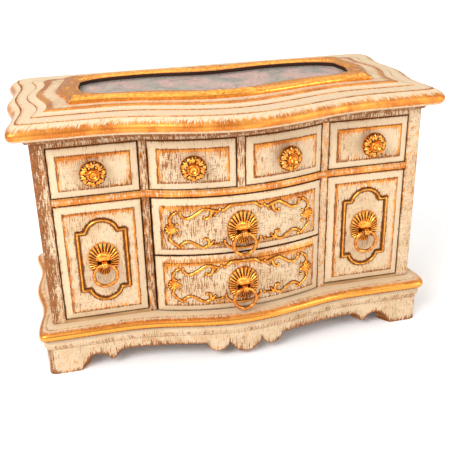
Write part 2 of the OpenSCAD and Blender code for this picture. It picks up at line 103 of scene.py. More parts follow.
class Shape:
    """Collects points, faces and attribute values for one object."""

    def __init__(self):
        self.verts, self.faces, self.attrs = [], [], {}
        self.count = 0

    def add(self, points, faces, **attrs):
        self.faces += [[i + self.count for i in face] for face in faces]
        self.verts.append(np.asarray(points, dtype=float))
        for key, values in attrs.items():
            self.attrs.setdefault(key, []).append(np.asarray(values, dtype=float))
        self.count += len(points)
        return self

    def build(self, node, suffix, material, body, smooth=40, extra=False):
        """Makes the object. It stands for its CAD node, unless it is an extra."""
        attrs = {key: np.concatenate(values) for key, values in self.attrs.items()}
        verts = np.concatenate(self.verts)
        obj = make_object(node + suffix, verts, self.faces, material, body, attrs, smooth)
        if not extra:
            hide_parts(node)
        return obj


def grid_faces(rows, cols, wrap=False, loop=False):
    """Faces of a grid of points. wrap joins its last column to the first, and loop its rows."""
    faces = []
    for r in range(rows if loop else rows - 1):
        here, there = r * cols, (r + 1) % rows * cols
        for c in range(cols if wrap else cols - 1):
            right = (c + 1) % cols
            faces.append((here + c, here + right, there + right, there + c))
    return faces


def end_face(row, cols, flip=False):
    """The face that closes a tube at one of its rings."""
    face = tuple(range(row * cols, (row + 1) * cols))
    return face[::-1] if flip else face


def mesh_grid(xs, ys):
    gx, gy = np.meshgrid(xs, ys)
    return gx.ravel(), gy.ravel()


def stacked(*grids):
    """Points whose coordinates are the values of three grids."""
    return np.stack([grid.ravel() for grid in grids], axis=1)


def full_turn(count):
    return np.linspace(0, 2 * np.pi, count, endpoint=False)


def smooth_step(x, low, high):
    t = np.clip((x - low) / (high - low), 0, 1)
    return t * t * (3 - 2 * t)


def fade(gap, reach):
    """1 at no gap or less, falling off over reach."""
    return np.exp(-np.maximum(gap, 0) / reach)


def bell(x, reach):
    return np.exp(-(x / reach) ** 2)


def most(first, *others):
    for values in others:
        first = np.maximum(first, values)
    return first


def polar(angle, reach=1.0):
    """A point in the plane at an angle in degrees."""
    return reach * np.array([math.cos(math.radians(angle)), math.sin(math.radians(angle))])


def catmull(points, per_span):
    """A smooth curve through the points."""
    p = np.asarray(points, dtype=float)
    q = np.vstack([2 * p[0] - p[1], p, 2 * p[-1] - p[-2]])
    out = []
    for a, b, c, d in zip(q, q[1:], q[2:], q[3:]):
        for t in np.arange(per_span) / per_span:
            out.append(0.5 * (2 * b + (c - a) * t + (2 * a - 5 * b + 4 * c - d) * t * t
                              + (3 * b - a - 3 * c + d) * t ** 3))
    return np.array(out + [p[-1]])


def segment_gap(p, a, b):
    """Each point's distance from the segment a to b, and how far along it its nearest place is."""
    d = b - a
    t = np.clip(((p - a) @ d) / max(d @ d, 1e-9), 0, 1)
    return np.linalg.norm(p - (a + t[:, None] * d), axis=1), t


# ---- Node helpers -------------------------------------------------------

def srgb(r, g, b):
    """An sRGB colour from 0 to 255 as linear RGBA."""
    def lin(v):
        v /= 255
        return v / 12.92 if v <= 0.04045 else ((v + 0.055) / 1.055) ** 2.4
    return (lin(r), lin(g), lin(b), 1.0)


class Graph:
    """A material's node tree, with short calls for the nodes used here."""

    def __init__(self, name):
        self.mat = bpy.data.materials.new(name)
        self.mat.use_nodes = True
        self.tree = self.mat.node_tree
        self.shader = self.tree.nodes["Principled BSDF"]

    def put(self, value, socket):
        """Links a node's output to a socket, or sets the socket to a value."""
        if isinstance(value, bpy.types.NodeSocket):
            self.tree.links.new(value, socket)
        else:
            socket.default_value = value

    def node(self, kind, inputs, **settings):
        n = self.tree.nodes.new("ShaderNode" + kind)
        for key, value in settings.items():
            setattr(n, key, value)
        for key, value in inputs.items():
            self.put(value, n.inputs[key])
        return n

    def attr(self, name, output="Fac"):
        return self.node("Attribute", {}, attribute_name=name).outputs[output]

    def stretch(self, vector, scale):
        return self.node("VectorMath", {0: vector, 1: scale}, operation="MULTIPLY").outputs[0]

    def shift(self, vector, offset):
        return self.node("VectorMath", {0: vector, 1: offset}, operation="ADD").outputs[0]

    def object_mm(self):
        return self.stretch(self.node("TexCoord", {}).outputs["Object"], (1 / MM, 1 / MM, 1 / MM))

    def noise(self, vector, scale=1.0, detail=3.0, rough=0.55, bend=0.0):
        return self.node("TexNoise", {"Vector": vector, "Scale": scale, "Detail": detail,
                                      "Roughness": rough, "Distortion": bend}).outputs["Fac"]

    def math(self, op, a, b):
        return self.node("Math", {0: a, 1: b}, operation=op).outputs[0]

    def add(self, a, b):
        return self.math("ADD", a, b)

    def times(self, a, b):
        return self.math("MULTIPLY", a, b)

    def swing(self, noise, amount):
        """Noise about zero instead of about a half."""
        return self.times(self.math("SUBTRACT", noise, 0.5), amount)

    def step(self, value, low, high):
        return self.node("MapRange", {"Value": value, "From Min": low, "From Max": high},
                         interpolation_type="SMOOTHSTEP").outputs["Result"]

    def mix(self, fac, a, b):
        return self.node("Mix", {0: fac, 6: a, 7: b}, data_type="RGBA").outputs[2]

    def blend(self, fac, a, b):
        return self.node("Mix", {0: fac, 2: a, 3: b}, data_type="FLOAT").outputs[0]

    def surface(self, colour, rough, others=(), bump=None):
        """Feeds the shader, and returns the material. bump is (height, distance, strength)."""
        inputs = {"Base Color": colour, "Roughness": rough, **dict(others)}
        if bump:
            settings = dict(zip(("Height", "Distance", "Strength"), bump))
            inputs["Normal"] = self.node("Bump", settings).outputs[0]
        for socket, value in inputs.items():
            self.put(value, self.shader.inputs[socket])
        return self.mat


# ---- Materials ----------------------------------------------------------

CREAM = srgb(217, 192, 158)
CREAM_DEEP = srgb(205, 175, 137)
CREAM_CLEAN = srgb(215, 190, 156)
STROKE, CRACK, SPECK = srgb(172, 110, 50), srgb(150, 96, 50), srgb(146, 98, 54)
GOLD_PAINT = srgb(224, 144, 60)
GOLD_DEEP = srgb(196, 112, 40)
GOLD_SHEEN_STREAK = srgb(234, 176, 106)
GOLD_POLISHED = srgb(240, 164, 72)
BROWN = srgb(158, 92, 34)
BROWN_DEEP = srgb(102, 50, 14)
SHADOW = srgb(30, 18, 10)
HOLLOW = srgb(52, 24, 8)


def paint(name, mottle):
    """Cream paint over gold and brown. The gild and dark attributes say where it is rubbed through; dark
    also carries painted shade, brown in creases and under rolls. Gild past 1.2 is polished, and dark past
    1.1 is painted shadow, near black, on an edge in a gap. Brush strokes run along the flow attribute's
    second value."""
    g = Graph(name)
    flow = g.attr("flow", "Vector")
    gild = g.attr("gild")
    dark = g.attr("dark")
    here = g.object_mm()

    def brush(across, along, detail=2.0, offset=None):
        start = g.shift(flow, offset) if offset else flow
        return g.noise(g.stretch(start, (across, along, 1.0)), detail=detail)

    fine = brush(1.25, 0.17)
    wide = brush(0.45, 0.07, offset=(37.0, 11.0, 0.0))
    strokes = g.add(g.times(fine, 0.7), g.times(wide, 0.3))
    other = brush(1.1, 0.12, 3.0, (91.0, 53.0, 0.0))
    patch = g.noise(here, 0.06, 2.0)
    grain = g.noise(here, 1.1, 3.0, 0.7)

    gold_mask = g.step(g.add(gild, g.swing(strokes, 3.1)), 0.40, 0.56)
    lift = g.add(g.swing(other, 2.6), g.swing(grain, 0.5 + mottle))
    lift = g.add(lift, g.swing(patch, 0.2 + mottle))
    dark_mask = g.step(g.add(dark, lift), 0.44, 0.66)
    handled = g.step(dark, 0.0, 0.15)
    polished = g.step(gild, 1.2, 1.45)

    cream = g.mix(handled, CREAM_CLEAN, g.mix(g.step(patch, 0.35, 0.7), CREAM, CREAM_DEEP))
    lines = g.step(brush(1.15, 0.15, 3.0), 0.57, 0.65)
    cream = g.mix(g.times(lines, g.blend(handled, 0.15, 0.65)), cream, STROKE)
    cross = g.step(brush(0.15, 1.5), 0.59, 0.65)
    cream = g.mix(g.times(cross, g.blend(handled, 0.0, 2 * mottle)), cream, CRACK)
    speck = g.times(g.step(grain, 0.62, 0.72), g.blend(handled, 0.2, 0.4 + mottle))
    cream = g.mix(speck, cream, SPECK)
    gold = g.mix(g.step(patch, 0.4, 0.6), GOLD_PAINT, GOLD_DEEP)
    # lighter streaks along the brush strokes: tone of the gold paint, and a painted highlight on it
    gold = g.mix(g.times(g.step(fine, 0.5, 0.68), 0.3), gold, GOLD_SHEEN_STREAK)
    gold = g.mix(polished, gold, GOLD_POLISHED)
    brown = g.mix(g.step(grain, 0.42, 0.6), BROWN, BROWN_DEEP)
    colour = g.mix(g.times(dark_mask, 0.92), g.mix(gold_mask, cream, gold), brown)
    colour = g.mix(g.step(dark, 1.1, 1.6), colour, SHADOW)
    rough = g.blend(dark_mask, g.blend(gold_mask, 0.55, g.blend(polished, 0.30, 0.2)), 0.7)
    metallic = g.times(gold_mask, g.blend(polished, 0.6, 0.9))
    height = g.add(g.times(strokes, 0.5), g.times(grain, 0.3))
    height = g.math("SUBTRACT", height, g.times(dark_mask, 0.35))
    return g.surface(colour, rough, {"Metallic": metallic, "Specular IOR Level": 0.25}, (height, 0.0004, 0.5))


def metal(name, bright, deep, rough, stain=0.5, metallic=1.0):
    """Cast antique gold: bright on the high places, brown in the recess attribute's hollows as patina; in a
    slot or the window's inner wall that darkening is painted shade.
    """
    g = Graph(name)
    here = g.object_mm()
    cloud = g.noise(here, 0.35, 3.0)
    grain = g.noise(here, 3.0, 2.0, 0.6)
    mask = g.step(g.add(g.attr("recess"), g.swing(grain, stain)), 0.35, 0.85)
    colour = g.mix(mask, g.mix(g.step(cloud, 0.35, 0.65), bright, deep), HOLLOW)
    rough = g.blend(mask, g.blend(cloud, rough, rough + 0.12), 0.6)
    height = g.add(g.times(grain, 0.4), cloud)
    return g.surface(colour, rough, {"Metallic": g.blend(mask, metallic, 0.45)}, (height, 0.0001, 0.05))


def wood(name, light, deep, along):
    """Plain sealed wood with its grain along x or y."""
    g = Graph(name)
    scale = [0.5, 0.5, 0.5]
    scale[along] = 0.03
    here = g.stretch(g.object_mm(), tuple(scale))
    rings = g.noise(here, 1.0, 4.0, 0.6, 0.6)
    pores = g.noise(g.stretch(here, (5, 5, 5)), 1.0, 2.0)
    colour = g.mix(g.step(rings, 0.35, 0.68), light, deep)
    return g.surface(colour, g.blend(pores, 0.42, 0.62), bump=(pores, 0.0002, 0.35))


def velvet(name, light, deep):
    g = Graph(name)
    here = g.object_mm()
    pile = g.noise(here, 5.0, 2.0, 0.8)
    colour = g.mix(g.step(g.noise(here, 0.12, 2.0), 0.35, 0.65), light, deep)
    colour = g.mix(g.times(g.step(pile, 0.5, 0.75), 0.35), colour, srgb(176, 70, 84))
    sheen = {"Sheen Weight": 0.6, "Sheen Roughness": 0.4, "Sheen Tint": srgb(220, 130, 140)}
    return g.surface(colour, g.blend(pile, 0.85, 1.0), sheen, (pile, 0.0003, 0.5))


def blossom_print(name):
    """A soft generic print of pink and grey blossoms."""
    g = Graph(name)
    here = g.object_mm()
    bent = g.noise(here, 0.05, 3.0, 0.6, 1.2)
    petals = g.node("TexVoronoi", {"Vector": here, "Scale": 0.055}, feature="SMOOTH_F1").outputs["Distance"]
    brush = g.noise(g.stretch(here, (0.5, 0.2, 1)), 1.0, 3.0, 0.6, 1.5)
    ground = g.mix(g.step(bent, 0.35, 0.65), srgb(136, 122, 106), srgb(172, 154, 132))
    pink = g.mix(g.step(brush, 0.35, 0.65), srgb(182, 134, 118), srgb(206, 166, 148))
    colour = g.mix(g.step(petals, 0.62, 0.30), ground, pink)
    leaf = g.step(g.noise(here, 0.11, 3.0, 0.6, 0.8), 0.56, 0.66)
    colour = g.mix(g.times(leaf, 0.6), colour, srgb(104, 98, 88))
    colour = g.mix(g.times(g.step(brush, 0.5, 0.8), 0.35), colour, srgb(222, 206, 190))
    return g.surface(colour, g.blend(brush, 0.55, 0.75), bump=(brush, 0.0001, 0.2))


def clear_glass(name):
    g = Graph(name)
    dust = g.noise(g.object_mm(), 0.25, 3.0)
    colour = g.mix(g.step(dust, 0.3, 0.7), srgb(236, 242, 242), srgb(246, 248, 248))
    return g.surface(colour, g.blend(dust, 0.03, 0.08), {"Alpha": 0.16})


def silvered(name):
    g = Graph(name)
    dust = g.noise(g.object_mm(), 0.2, 3.0)
    colour = g.mix(dust, srgb(222, 226, 228), srgb(236, 238, 240))
    return g.surface(colour, g.blend(dust, 0.02, 0.07), {"Metallic": 1.0})


PAINT = paint("cream_paint", 0.18)
PAINT_MOTTLED = paint("cream_paint_mottled", 0.42)
GILT = metal("gilt_frame", srgb(250, 172, 76), srgb(230, 138, 52), 0.2, 0.0, metallic=0.88)
CAST = metal("antique_gold", srgb(252, 184, 84), srgb(222, 130, 48), 0.22, 0.25)
WIRE = metal("ring_gold", srgb(238, 162, 78), srgb(194, 108, 44), 0.2, 0.3)
BRASS = metal("hinge_brass", srgb(214, 168, 92), srgb(176, 130, 66), 0.35)
WOOD_Y = wood("box_wood", srgb(190, 150, 102), srgb(150, 108, 66), along=1)
WOOD_X = wood("board_wood", srgb(196, 158, 112), srgb(158, 116, 74), along=0)
VELVET = velvet("wine_velvet", srgb(104, 20, 34), srgb(84, 14, 27))
PRINT = blossom_print("blossom_print")
GLASS = clear_glass("window_glass")
MIRROR = silvered("mirror_glass")


# ---- Outlines and lofts -------------------------------------------------

def wave(y):
    return np.cos(2 * np.pi * (y - WAVE_MID) / WAVE_LEN)


def swell(x, amount, half):
    return np.where(np.abs(x) < half, amount * (1 + np.cos(np.pi * x / half)) / 2, 0.0)


def soften(points, reach):
    """Rounds the corners of a closed outline a little."""
    p = points
    span = np.linalg.norm(np.roll(p, -1, 0) - p, axis=1).mean()
    for _ in range(max(1, int(round((reach / span) ** 2 * 3)))):
        p = 0.5 * p + 0.25 * (np.roll(p, 1, 0) + np.roll(p, -1, 0))
    return p


def outline(side, amp, front, amount, half, back, cut, n=200, m=90, reach=1.4):
    """The lid and plinth outline: a swelling front, waved sides and a straight back."""
    corner = side + amp * wave(front)
    end = back - cut
    x = np.linspace(-corner, corner, n, endpoint=False)
    y = np.linspace(front, end, m, endpoint=False)
    back_x = side + amp * wave(end)
    xb = np.linspace(back_x - cut, cut - back_x, n, endpoint=False)
    t = np.linspace(0, np.pi / 2, max(2, int(cut)), endpoint=False)
    right = np.vstack([
        np.c_[side + amp * wave(y), y],
        np.c_[back_x - cut * (1 - np.cos(t)), end + cut * np.sin(t)],
    ])
    pts = np.vstack([
        np.c_[x, front - swell(x, amount, half)],
        right,
        np.c_[xb, np.full(n, back)],
        right[::-1] * (-1, 1),
    ])
    return soften(pts, reach)


def lid_outline(grow):
    return outline(167.4 + grow, 2.4, FACE - 6.5 - grow, 22, 115, BACK, 9, reach=4.2)


def plinth_outline(grow):
    return outline(165.6 + grow, 2.4, FACE - 8 - grow, BOW, 105, BACK, 2, reach=4.2)


def step_outline(grow):
    return outline(147.5 + grow, 3.8, FACE + 17.5 - grow, 21, 105, FACE + 121 + grow, 6)


def window_outline(grow, n=200, m=90):
    """The window, with its long sides swelling and its ends pointed, point for point with outline()."""
    half, front, back, tip = 118.0, FACE + 40.5, FACE + 100.0, FACE + 66
    ends = 3
    x = np.linspace(-half + ends, half - ends, n, endpoint=False)
    low = front - grow - swell(x, 17, 75) + 14 * (np.abs(x) / half) ** 8
    high = back + grow - swell(x, 7, 60) - 16 * (np.abs(x) / half) ** 8
    ys = np.linspace(low[0], high[0], m + 6, endpoint=False)
    bulge = np.where(ys < tip, (ys - low[0]) / (tip - low[0]), (high[0] - ys) / (high[0] - tip))
    right = np.c_[half - ends + (ends + grow) * bulge, ys]
    return np.vstack([np.c_[x, low], right, np.c_[-x, high], right[::-1] * (-1, 1)])


def run_length(ring):
    step = np.linalg.norm(np.roll(ring, -1, 0) - ring, axis=1)
    return np.concatenate([[0], np.cumsum(step)[:-1]])


def pressed(ring, x, y0, y1):
    """The ring pressed onto a rectangle inside it."""
    return np.c_[np.clip(ring[:, 0], -x, x), np.clip(ring[:, 1], y0, y1)]


def build_moulding(node, body, profile, outline_of, base, run_at, before, after=()):
    """A painted moulding skinned over its profile's rings. before and after hold rings inside it, as
    (plan line, z, (across, gild, dark)). With none after, both ends are closed."""
    grow, rise, gild, dark = np.array(profile).T
    across = np.concatenate([[0], np.cumsum(np.hypot(np.diff(grow), np.diff(rise)))])
    rows = [(outline_of(g), base + r, values) for g, r, *values in zip(grow, rise, across, gild, dark)]
    rows = [*before, *rows, *after]
    along = run_length(outline_of(run_at))
    n = len(along)
    across, gild, dark = np.repeat([values for _, _, values in rows], n, axis=0).T
    faces = grid_faces(len(rows), n, wrap=True)
    if not after:
        faces += [end_face(0, n, flip=True), end_face(len(rows) - 1, n)]
    shape = Shape().add(np.vstack([np.insert(ring, 2, z, axis=1) for ring, z, _ in rows]), faces,
                        flow=np.c_[np.tile(along, len(rows)), across, 0 * across], gild=gild, dark=dark)
    shape.build(node, "_painted", PAINT, body, 35)


# Each moulding's profile has rows of (grow, height over its base, gild, dark), from the bottom up.

def build_lid():
    """The lid's moulding with its worn gold band, and the hollow under it."""
    top = LID_TOP - LID_LOW
    profile = [
        # The lowest rows, the underside facing down, are brown: worn paint, and painted shade under the
        # overhang.
        (-3.5, 0, 0.1, 0.80), (-3.0, 1.2, 0.1, 0.85), (-1.9, 2.7, 0.1, 0.80), (0.0, 3.9, 0.1, 0.75),
        (2.6, 4.5, 0.1, 0.62), (5.0, 4.7, 0.1, 0.55), (5.6, 4.9, 0.0, 0.15), (6.4, 5.6, 0.05, 0.0),
        (7.0, 6.4, 0.25, 0.0), (7.5, 7.4, 1.0, 0.0), (7.95, 9.0, 1.05, 0.0), (7.9, 10.4, 1.0, 0.0),
        (7.3, 12.0, 0.9, 0.0), (6.3, 13.3, 0.68, 0.0), (4.9, 14.6, 0.45, 0.0), (3.2, 15.7, 0.24, 0.0),
        (1.6, 16.5, 0.12, 0.0), (0.6, 16.9, 0.10, 0.1), (0.15, 16.6, 0.9, 0.55), (-0.5, 16.6, 0.9, 0.55),
        (-0.9, top - 0.1, 0.5, 0.35), (-1.6, top, 0.3, 0.15), (-4.0, top, 0.0, 0.0),
        (-9.0, top, 0.0, 0.0), (-16.0, top, 0.0, 0.0),
    ]
    hollow = pressed(lid_outline(-3.5), 148, FACE + 8, BACK - 6)
    roof = box_mm("lid_mirror")[0][2] + 1.5
    build_moulding("lid_moulding", "lid", profile, lid_outline, LID_LOW, 8,
                   [(hollow, roof, (-20.0, 0.0, 0.0)), (hollow, LID_LOW, (-8.0, 0.0, 0.1))])


def build_step():
    """The raised step on the lid, with the window's opening through it."""
    top = STEP_TOP - LID_TOP
    foot = -0.2
    profile = [
        (9.4, foot, 0.9, 0.5), (9.3, 0.25, 0.9, 0.5), (8.9, 0.6, 0.7, 0.3), (8.0, 0.65, 0.2, 0.0),
        (6.8, 0.65, 0.0, 0.0), (5.0, 0.75, 0.0, 0.0), (3.2, 1.1, 0.0, 0.0), (1.9, 1.6, 0.1, 0.0),
        (1.2, 2.0, 0.7, 0.25), (0.9, 2.3, 1.2, 0.3), (0.4, 2.6, 1.3, 0.1), (-0.4, top + 0.05, 1.3, 0.0),
        (-1.6, top, 1.1, 0.0), (-3.2, top, 0.75, 0.0), (-5.5, top, 0.3, 0.1), (-9.0, top, 0.0, 0.15),
        (-13.0, top, 0.0, 0.2), (-15.0, top, 0.1, 0.5),
    ]
    hole = window_outline(2.3)
    build_moulding("lid_step", "lid", profile, step_outline, LID_TOP, 0,
                   [(hole, LID_TOP + foot, (-10.0, 0.0, 0.0))],
                   [(hole, STEP_TOP, (40.0, 0.0, 0.5)), (hole, LID_TOP + foot, (42.0, 0.0, 0.5))])


def build_plinth():
    """The plinth moulding: a cream cove under a polished gold roll."""
    top = PLINTH_TOP - PLINTH_LOW
    profile = [
        # The rows under the gold roll are dark: painted shade beneath it.
        (-4.0, 0, 0.0, 0.6), (1.6, 0, 0.2, 0.5), (2.0, 0.6, 0.2, 0.4), (2.6, 2.0, 0.15, 0.3),
        (3.2, 3.6, 0.2, 0.34), (3.5, 5.2, 0.12, 0.2), (3.1, 6.8, 0.0, 0.1), (2.2, 8.2, 0.05, 0.0),
        (1.6, 9.3, 0.1, 0.30), (1.6, 9.9, 0.2, 0.95), (2.8, 10.1, 0.4, 0.95), (4.6, 10.4, 0.7, 0.75),
        (5.6, 11.2, 1.1, 0.75), (6.2, 12.4, 1.4, 0.35), (6.4, 13.8, 1.5, 0.0), (6.2, 15.2, 1.5, 0.0),
        (5.5, 16.5, 1.2, 0.0), (4.4, 17.4, 0.9, 0.0), (3.0, 18.0, 0.55, 0.0), (1.6, 18.3, 0.3, 0.0),
        (0.4, 18.4, 0.2, 0.15), (0.0, 18.3, 0.3, 0.5), (-0.5, top - 0.1, 0.2, 0.15),
        (-1.2, top, 0.05, 0.0), (-3.5, top, 0.0, 0.0), (-7.0, top, 0.0, 0.0),
    ]
    inner = pressed(plinth_outline(-7), 150, FACE + 6, BACK - 6)
    build_moulding("plinth_moulding", "case", profile, plinth_outline, PLINTH_LOW, 6,
                   [(inner, PLINTH_LOW, (-20.0, 0.0, 0.5))],
                   [(inner, PLINTH_TOP, (50.0, 0.0, 0.0)), (inner, PLINTH_LOW, (60.0, 0.0, 0.5))])


# ---- Relief drawn with strokes ------------------------------------------

def stroke_height(points, strokes):
    """The height at 2-D points of rounded strokes. A stroke is (line, radii, height)."""
    best = np.zeros(len(points))
    for line, radii, high in strokes:
        line, radii = np.asarray(line), np.asarray(radii)
        low, top = line.min(0) - radii.max(), line.max(0) + radii.max()
        near = np.where(np.all((points > low) & (points < top), axis=1))[0]
        for a, b, r0, r1 in zip(line, line[1:], radii, radii[1:]):
            gap, t = segment_gap(points[near], a, b)
            r = r0 + (r1 - r0) * t
            dome = np.sqrt(np.clip(1 - (gap / r) ** 2, 0, 1))
            best[near] = np.maximum(best[near], dome * high * (r / radii.max()) ** 0.5)
    return best


def curl(centre, radius, start):
    """A spiral line of a little over one turn about a centre, from its outer end inwards."""
    t = np.linspace(0, 1, 18)
    return np.array([centre + polar(start + 396 * k, radius * (1 - 0.9 * k)) for k in t])


def leaf_fan(centre, angle, reach, count, spread, width, high):
    """A small fan of rounded leaves."""
    strokes = []
    for place in np.linspace(-0.5, 0.5, count):
        d = polar(angle + spread * place)
        far = reach * (1 - 0.5 * abs(place))
        line = [centre + d * reach * 0.15, centre + d * far * 0.6, centre + d * far]
        strokes.append((line, [width * 0.45, width, width * 0.6], high))
    return strokes


def frame_ornament():
    """Florets at the corners and the middles of the gilt frame, seen from above."""
    strokes = []
    for s, outward in ((-1, 180), (1, 0)):
        inward = 180 - outward
        for y, turn in ((FACE + 38, -40), (FACE + 104, 40)):
            corner = np.array([s * 117.0, y])
            away = turn if s > 0 else 180 - turn
            strokes += leaf_fan(corner, away, 9, 5, 130, 1.3, 1.1)
            strokes += leaf_fan(corner, away + 180, 12, 5, 70, 1.3, 1.0)
        tip = FACE + 66
        strokes += leaf_fan(np.array([s * 124.0, tip]), outward, 6, 5, 140, 1.2, 1.1)
        strokes += leaf_fan(np.array([s * 124.0, tip]), inward, 8, 5, 120, 1.2, 1.1)
        for k in (-1, 1):
            line = catmull([(s * 122, tip + k * 6), (s * 120, tip + k * 14), (s * 124, tip + k * 20)], 5)
            strokes.append((line, np.full(11, 1.1), 0.9))
    for y, up in ((FACE + 16.5, -1), (FACE + 101.5, 1)):
        middle = np.array([0.0, y])
        strokes += leaf_fan(middle, 90 * up, 5.5, 5, 120, 1.1, 1.1)
        for s, outward in ((-1, 180), (1, 0)):
            strokes += leaf_fan(middle, outward, 14, 5, 60, 1.3, 1.1)
            line = catmull([(s * 12, y - up), (s * 22, y + up * 1.5), (s * 30, y + up * 4)], 6)
            strokes.append((line, np.linspace(1.6, 0.7, 13), 1.0))
    return strokes


def build_gilt_frame():
    """A broad convex frame with beads along its edges and florets in relief."""
    grooves = (0.31, 0.63)
    section = [
        (0.0, 0.0), (0.0, 1.2), (0.0, 2.5), (0.015, 2.95), (0.04, 3.1), (0.075, 3.0), (0.10, 2.75),
        (0.13, 3.0), (0.17, 3.5), (0.22, 4.0), (0.28, 4.35), (0.31, 4.25), (0.34, 4.45), (0.41, 4.85),
        (0.48, 5.05), (0.54, 5.0), (0.60, 4.7), (0.63, 4.45), (0.66, 4.5), (0.71, 4.35), (0.76, 4.0),
        (0.80, 3.6), (0.83, 3.3), (0.86, 3.45), (0.90, 3.65), (0.94, 3.6), (0.975, 3.3), (1.0, 2.9),
        (1.0, 1.4), (1.0, 0.0),
    ]
    fine = []
    for (t0, h0), (t1, h1) in zip(section, section[1:]):
        steps = max(1, int(round((t1 - t0) / 0.02)))
        fine += [(t0 + (t1 - t0) * k / steps, h0 + (h1 - h0) * k / steps) for k in range(steps)]
    t, h = np.array(fine + section[-1:]).T
    outer = outline(131.5, 3.5, FACE + 28, 19, 108, FACE + 114, 5, n=420, m=150, reach=1.0)
    inner = soften(window_outline(0, n=420, m=149), 1.0)
    n = len(outer)
    pts = np.vstack([np.insert(outer * (1 - a) + inner * a, 2, b, axis=1) for a, b in zip(t, h)])
    inside = np.repeat((t > 0) & (t < 1), n)
    # The window's inner wall is darkened as painted shade; the low edge and the grooves are darker too.
    recess = 0.1 + 0.35 * ((h < 3.1) & (t > 0.05)) + 0.5 * (t > 0.97) + 0.3 * np.isin(t, grooves)
    ornament = frame_ornament()
    lift = stroke_height(pts[:, :2], ornament) * inside
    near = stroke_height(pts[:, :2], [(line, 1.7 * np.array(radii), 1.0) for line, radii, _ in ornament])
    beside = (near * inside > 0.1) & (lift < 0.25)
    recess = np.clip(np.repeat(recess, n) + 0.15 * beside, 0, 1) * (1 - np.clip(lift, 0, 1))
    pts[:, 2] += STEP_TOP + np.clip(lift, 0, 1.3) * 0.4
    shape = Shape().add(pts, grid_faces(len(t), n, wrap=True, loop=True), recess=recess)
    shape.build("gilt_frame", "_relief", GILT, "lid", 50)


# ---- Aprons -------------------------------------------------------------

ARCH_X, ARCH_TOP = 103.5, 15.5
FOOT_X, FOOT_Z = 138.6, 7.0
APRON_T = 9.0
APRON_CUT_Y, APRON_CUT_X = FACE - 1, 140.0


def front_edge(x):
    """The height of the front apron's lower edge at x: a long arch, a cusp, a foot and three lobes."""
    x = np.abs(x)

    def cap(centre_x, centre_z, r, sign):
        d = r * r - (x - centre_x) ** 2
        return np.where(d > 0, centre_z + sign * np.sqrt(np.maximum(d, 0)), np.nan)

    end = np.nan_to_num(cap(ARCH_X, ARCH_TOP - 10, 10, 1), nan=0.0)
    cusp = np.nan_to_num(cap(127.5, 2, 12, 1), nan=-5.0)
    arch = np.maximum(end, cusp)
    arch = np.where(x < 139, np.maximum(arch, FOOT_Z), arch)
    under = np.where(x > ARCH_X, arch, ARCH_TOP)
    under = np.where(x >= FOOT_X, FOOT_Z * (1 - smooth_step(x, FOOT_X, 143.2)), under)
    for cx, cz, r in ((0, 18.5, 14.3), (24.5, 16.5, 9.5)):
        under = np.where(x < 60, np.fmin(under, cap(cx, cz, r, -1)), under)
    return np.maximum(under, 0)


def plain_edge(d, half, r):
    """The height of a side or back apron's lower edge at d from its middle: a flat arch, then a foot."""
    return np.sqrt(np.maximum(r ** 2 - np.maximum(np.abs(d) - half, 0) ** 2, 0))


def build_apron(name, outer, inner, edge, along):
    """A wall between two open plan lines, from a cut lower edge up to the plinth."""
    n = len(outer)
    levels = np.concatenate([[0, 0.03, 0.07, 0.13, 0.2], np.linspace(0.28, 1, 12)])
    per = len(levels)
    z = (edge + np.outer(levels, PLINTH_LOW - edge)).ravel()
    run = np.tile(along, per)
    over = z - np.tile(edge, per)
    gild = 0.15 + 0.4 * np.exp(-over / 2.0)
    dark = 0.16 + 0.75 * np.exp(-over / 2.6) + 0.1 * np.sin(run * 0.05)
    dark += 0.65 * bell(run + 158.5, 5)                # the left foot's corner is rubbed
    flow = np.c_[run, z, 0 * z]
    half = grid_faces(per, n)
    size = per * n
    faces = half + [tuple(size + i for i in f) for f in half]
    for first in (0, size - n):
        faces += [(i, i + 1, size + i + 1, size + i) for i in range(first, first + n - 1)]
    for first in (0, n - 1):
        faces += [(i, i + n, size + i + n, size + i) for i in range(first, first + size - n, n)]
    walls = [np.c_[np.tile(line, (per, 1)), z] for line in (outer, inner)]
    shape = Shape().add(np.vstack(walls), faces, flow=np.vstack([flow, flow]),
                        gild=np.r_[gild, gild], dark=np.r_[dark, np.full(size, 0.6)])
    shape.build(name, "_painted", PAINT, "case", 40)


def build_aprons():
    """The front and side aprons are stretches of one waved wall, and the back one is straight."""
    outer, inner = (
        outline(167.6 - t, 2.4, FACE - 10 + t, BOW, 105, BACK - t, 2, n=420, m=120, reach=4.2)
        for t in (0, APRON_T))
    start = np.argmin(np.abs(outer[:, 0]) + 1000 * (outer[:, 1] < 0))
    outer, inner = np.roll(outer, -start, 0), np.roll(inner, -start, 0)
    x, y = outer.T
    part = y <= APRON_CUT_Y
    build_apron("front_apron", outer[part], inner[part], front_edge(x[part]),
                (x + np.sign(x) * (y - FACE))[part])
    side_mid = (APRON_CUT_Y + BACK) / 2
    for s, name in ((-1, "left_apron"), (1, "right_apron")):
        part = (y > APRON_CUT_Y - 0.6) & (s * x > APRON_CUT_X)
        build_apron(name, outer[part], inner[part], plain_edge(y[part] - side_mid, 50, 14), y[part])
    x = np.linspace(-APRON_CUT_X, APRON_CUT_X, 281)
    line = np.c_[x, np.full(len(x), BACK)]
    build_apron("back_apron", line, line - (0, APRON_T), plain_edge(x, 120, 12), x)


# ---- Boards and rails ---------------------------------------------------

def spaced(low, high, step, radius):
    """Grid lines from low to high, close together in the rounded edges."""
    edge = radius * np.array([0, 0.3, 0.65, 1])
    inner = np.linspace(low + radius, high - radius, max(2, int(round((high - low) / step)) + 1))
    return np.unique(np.round(np.concatenate([low + edge, inner, high - edge]), 5))


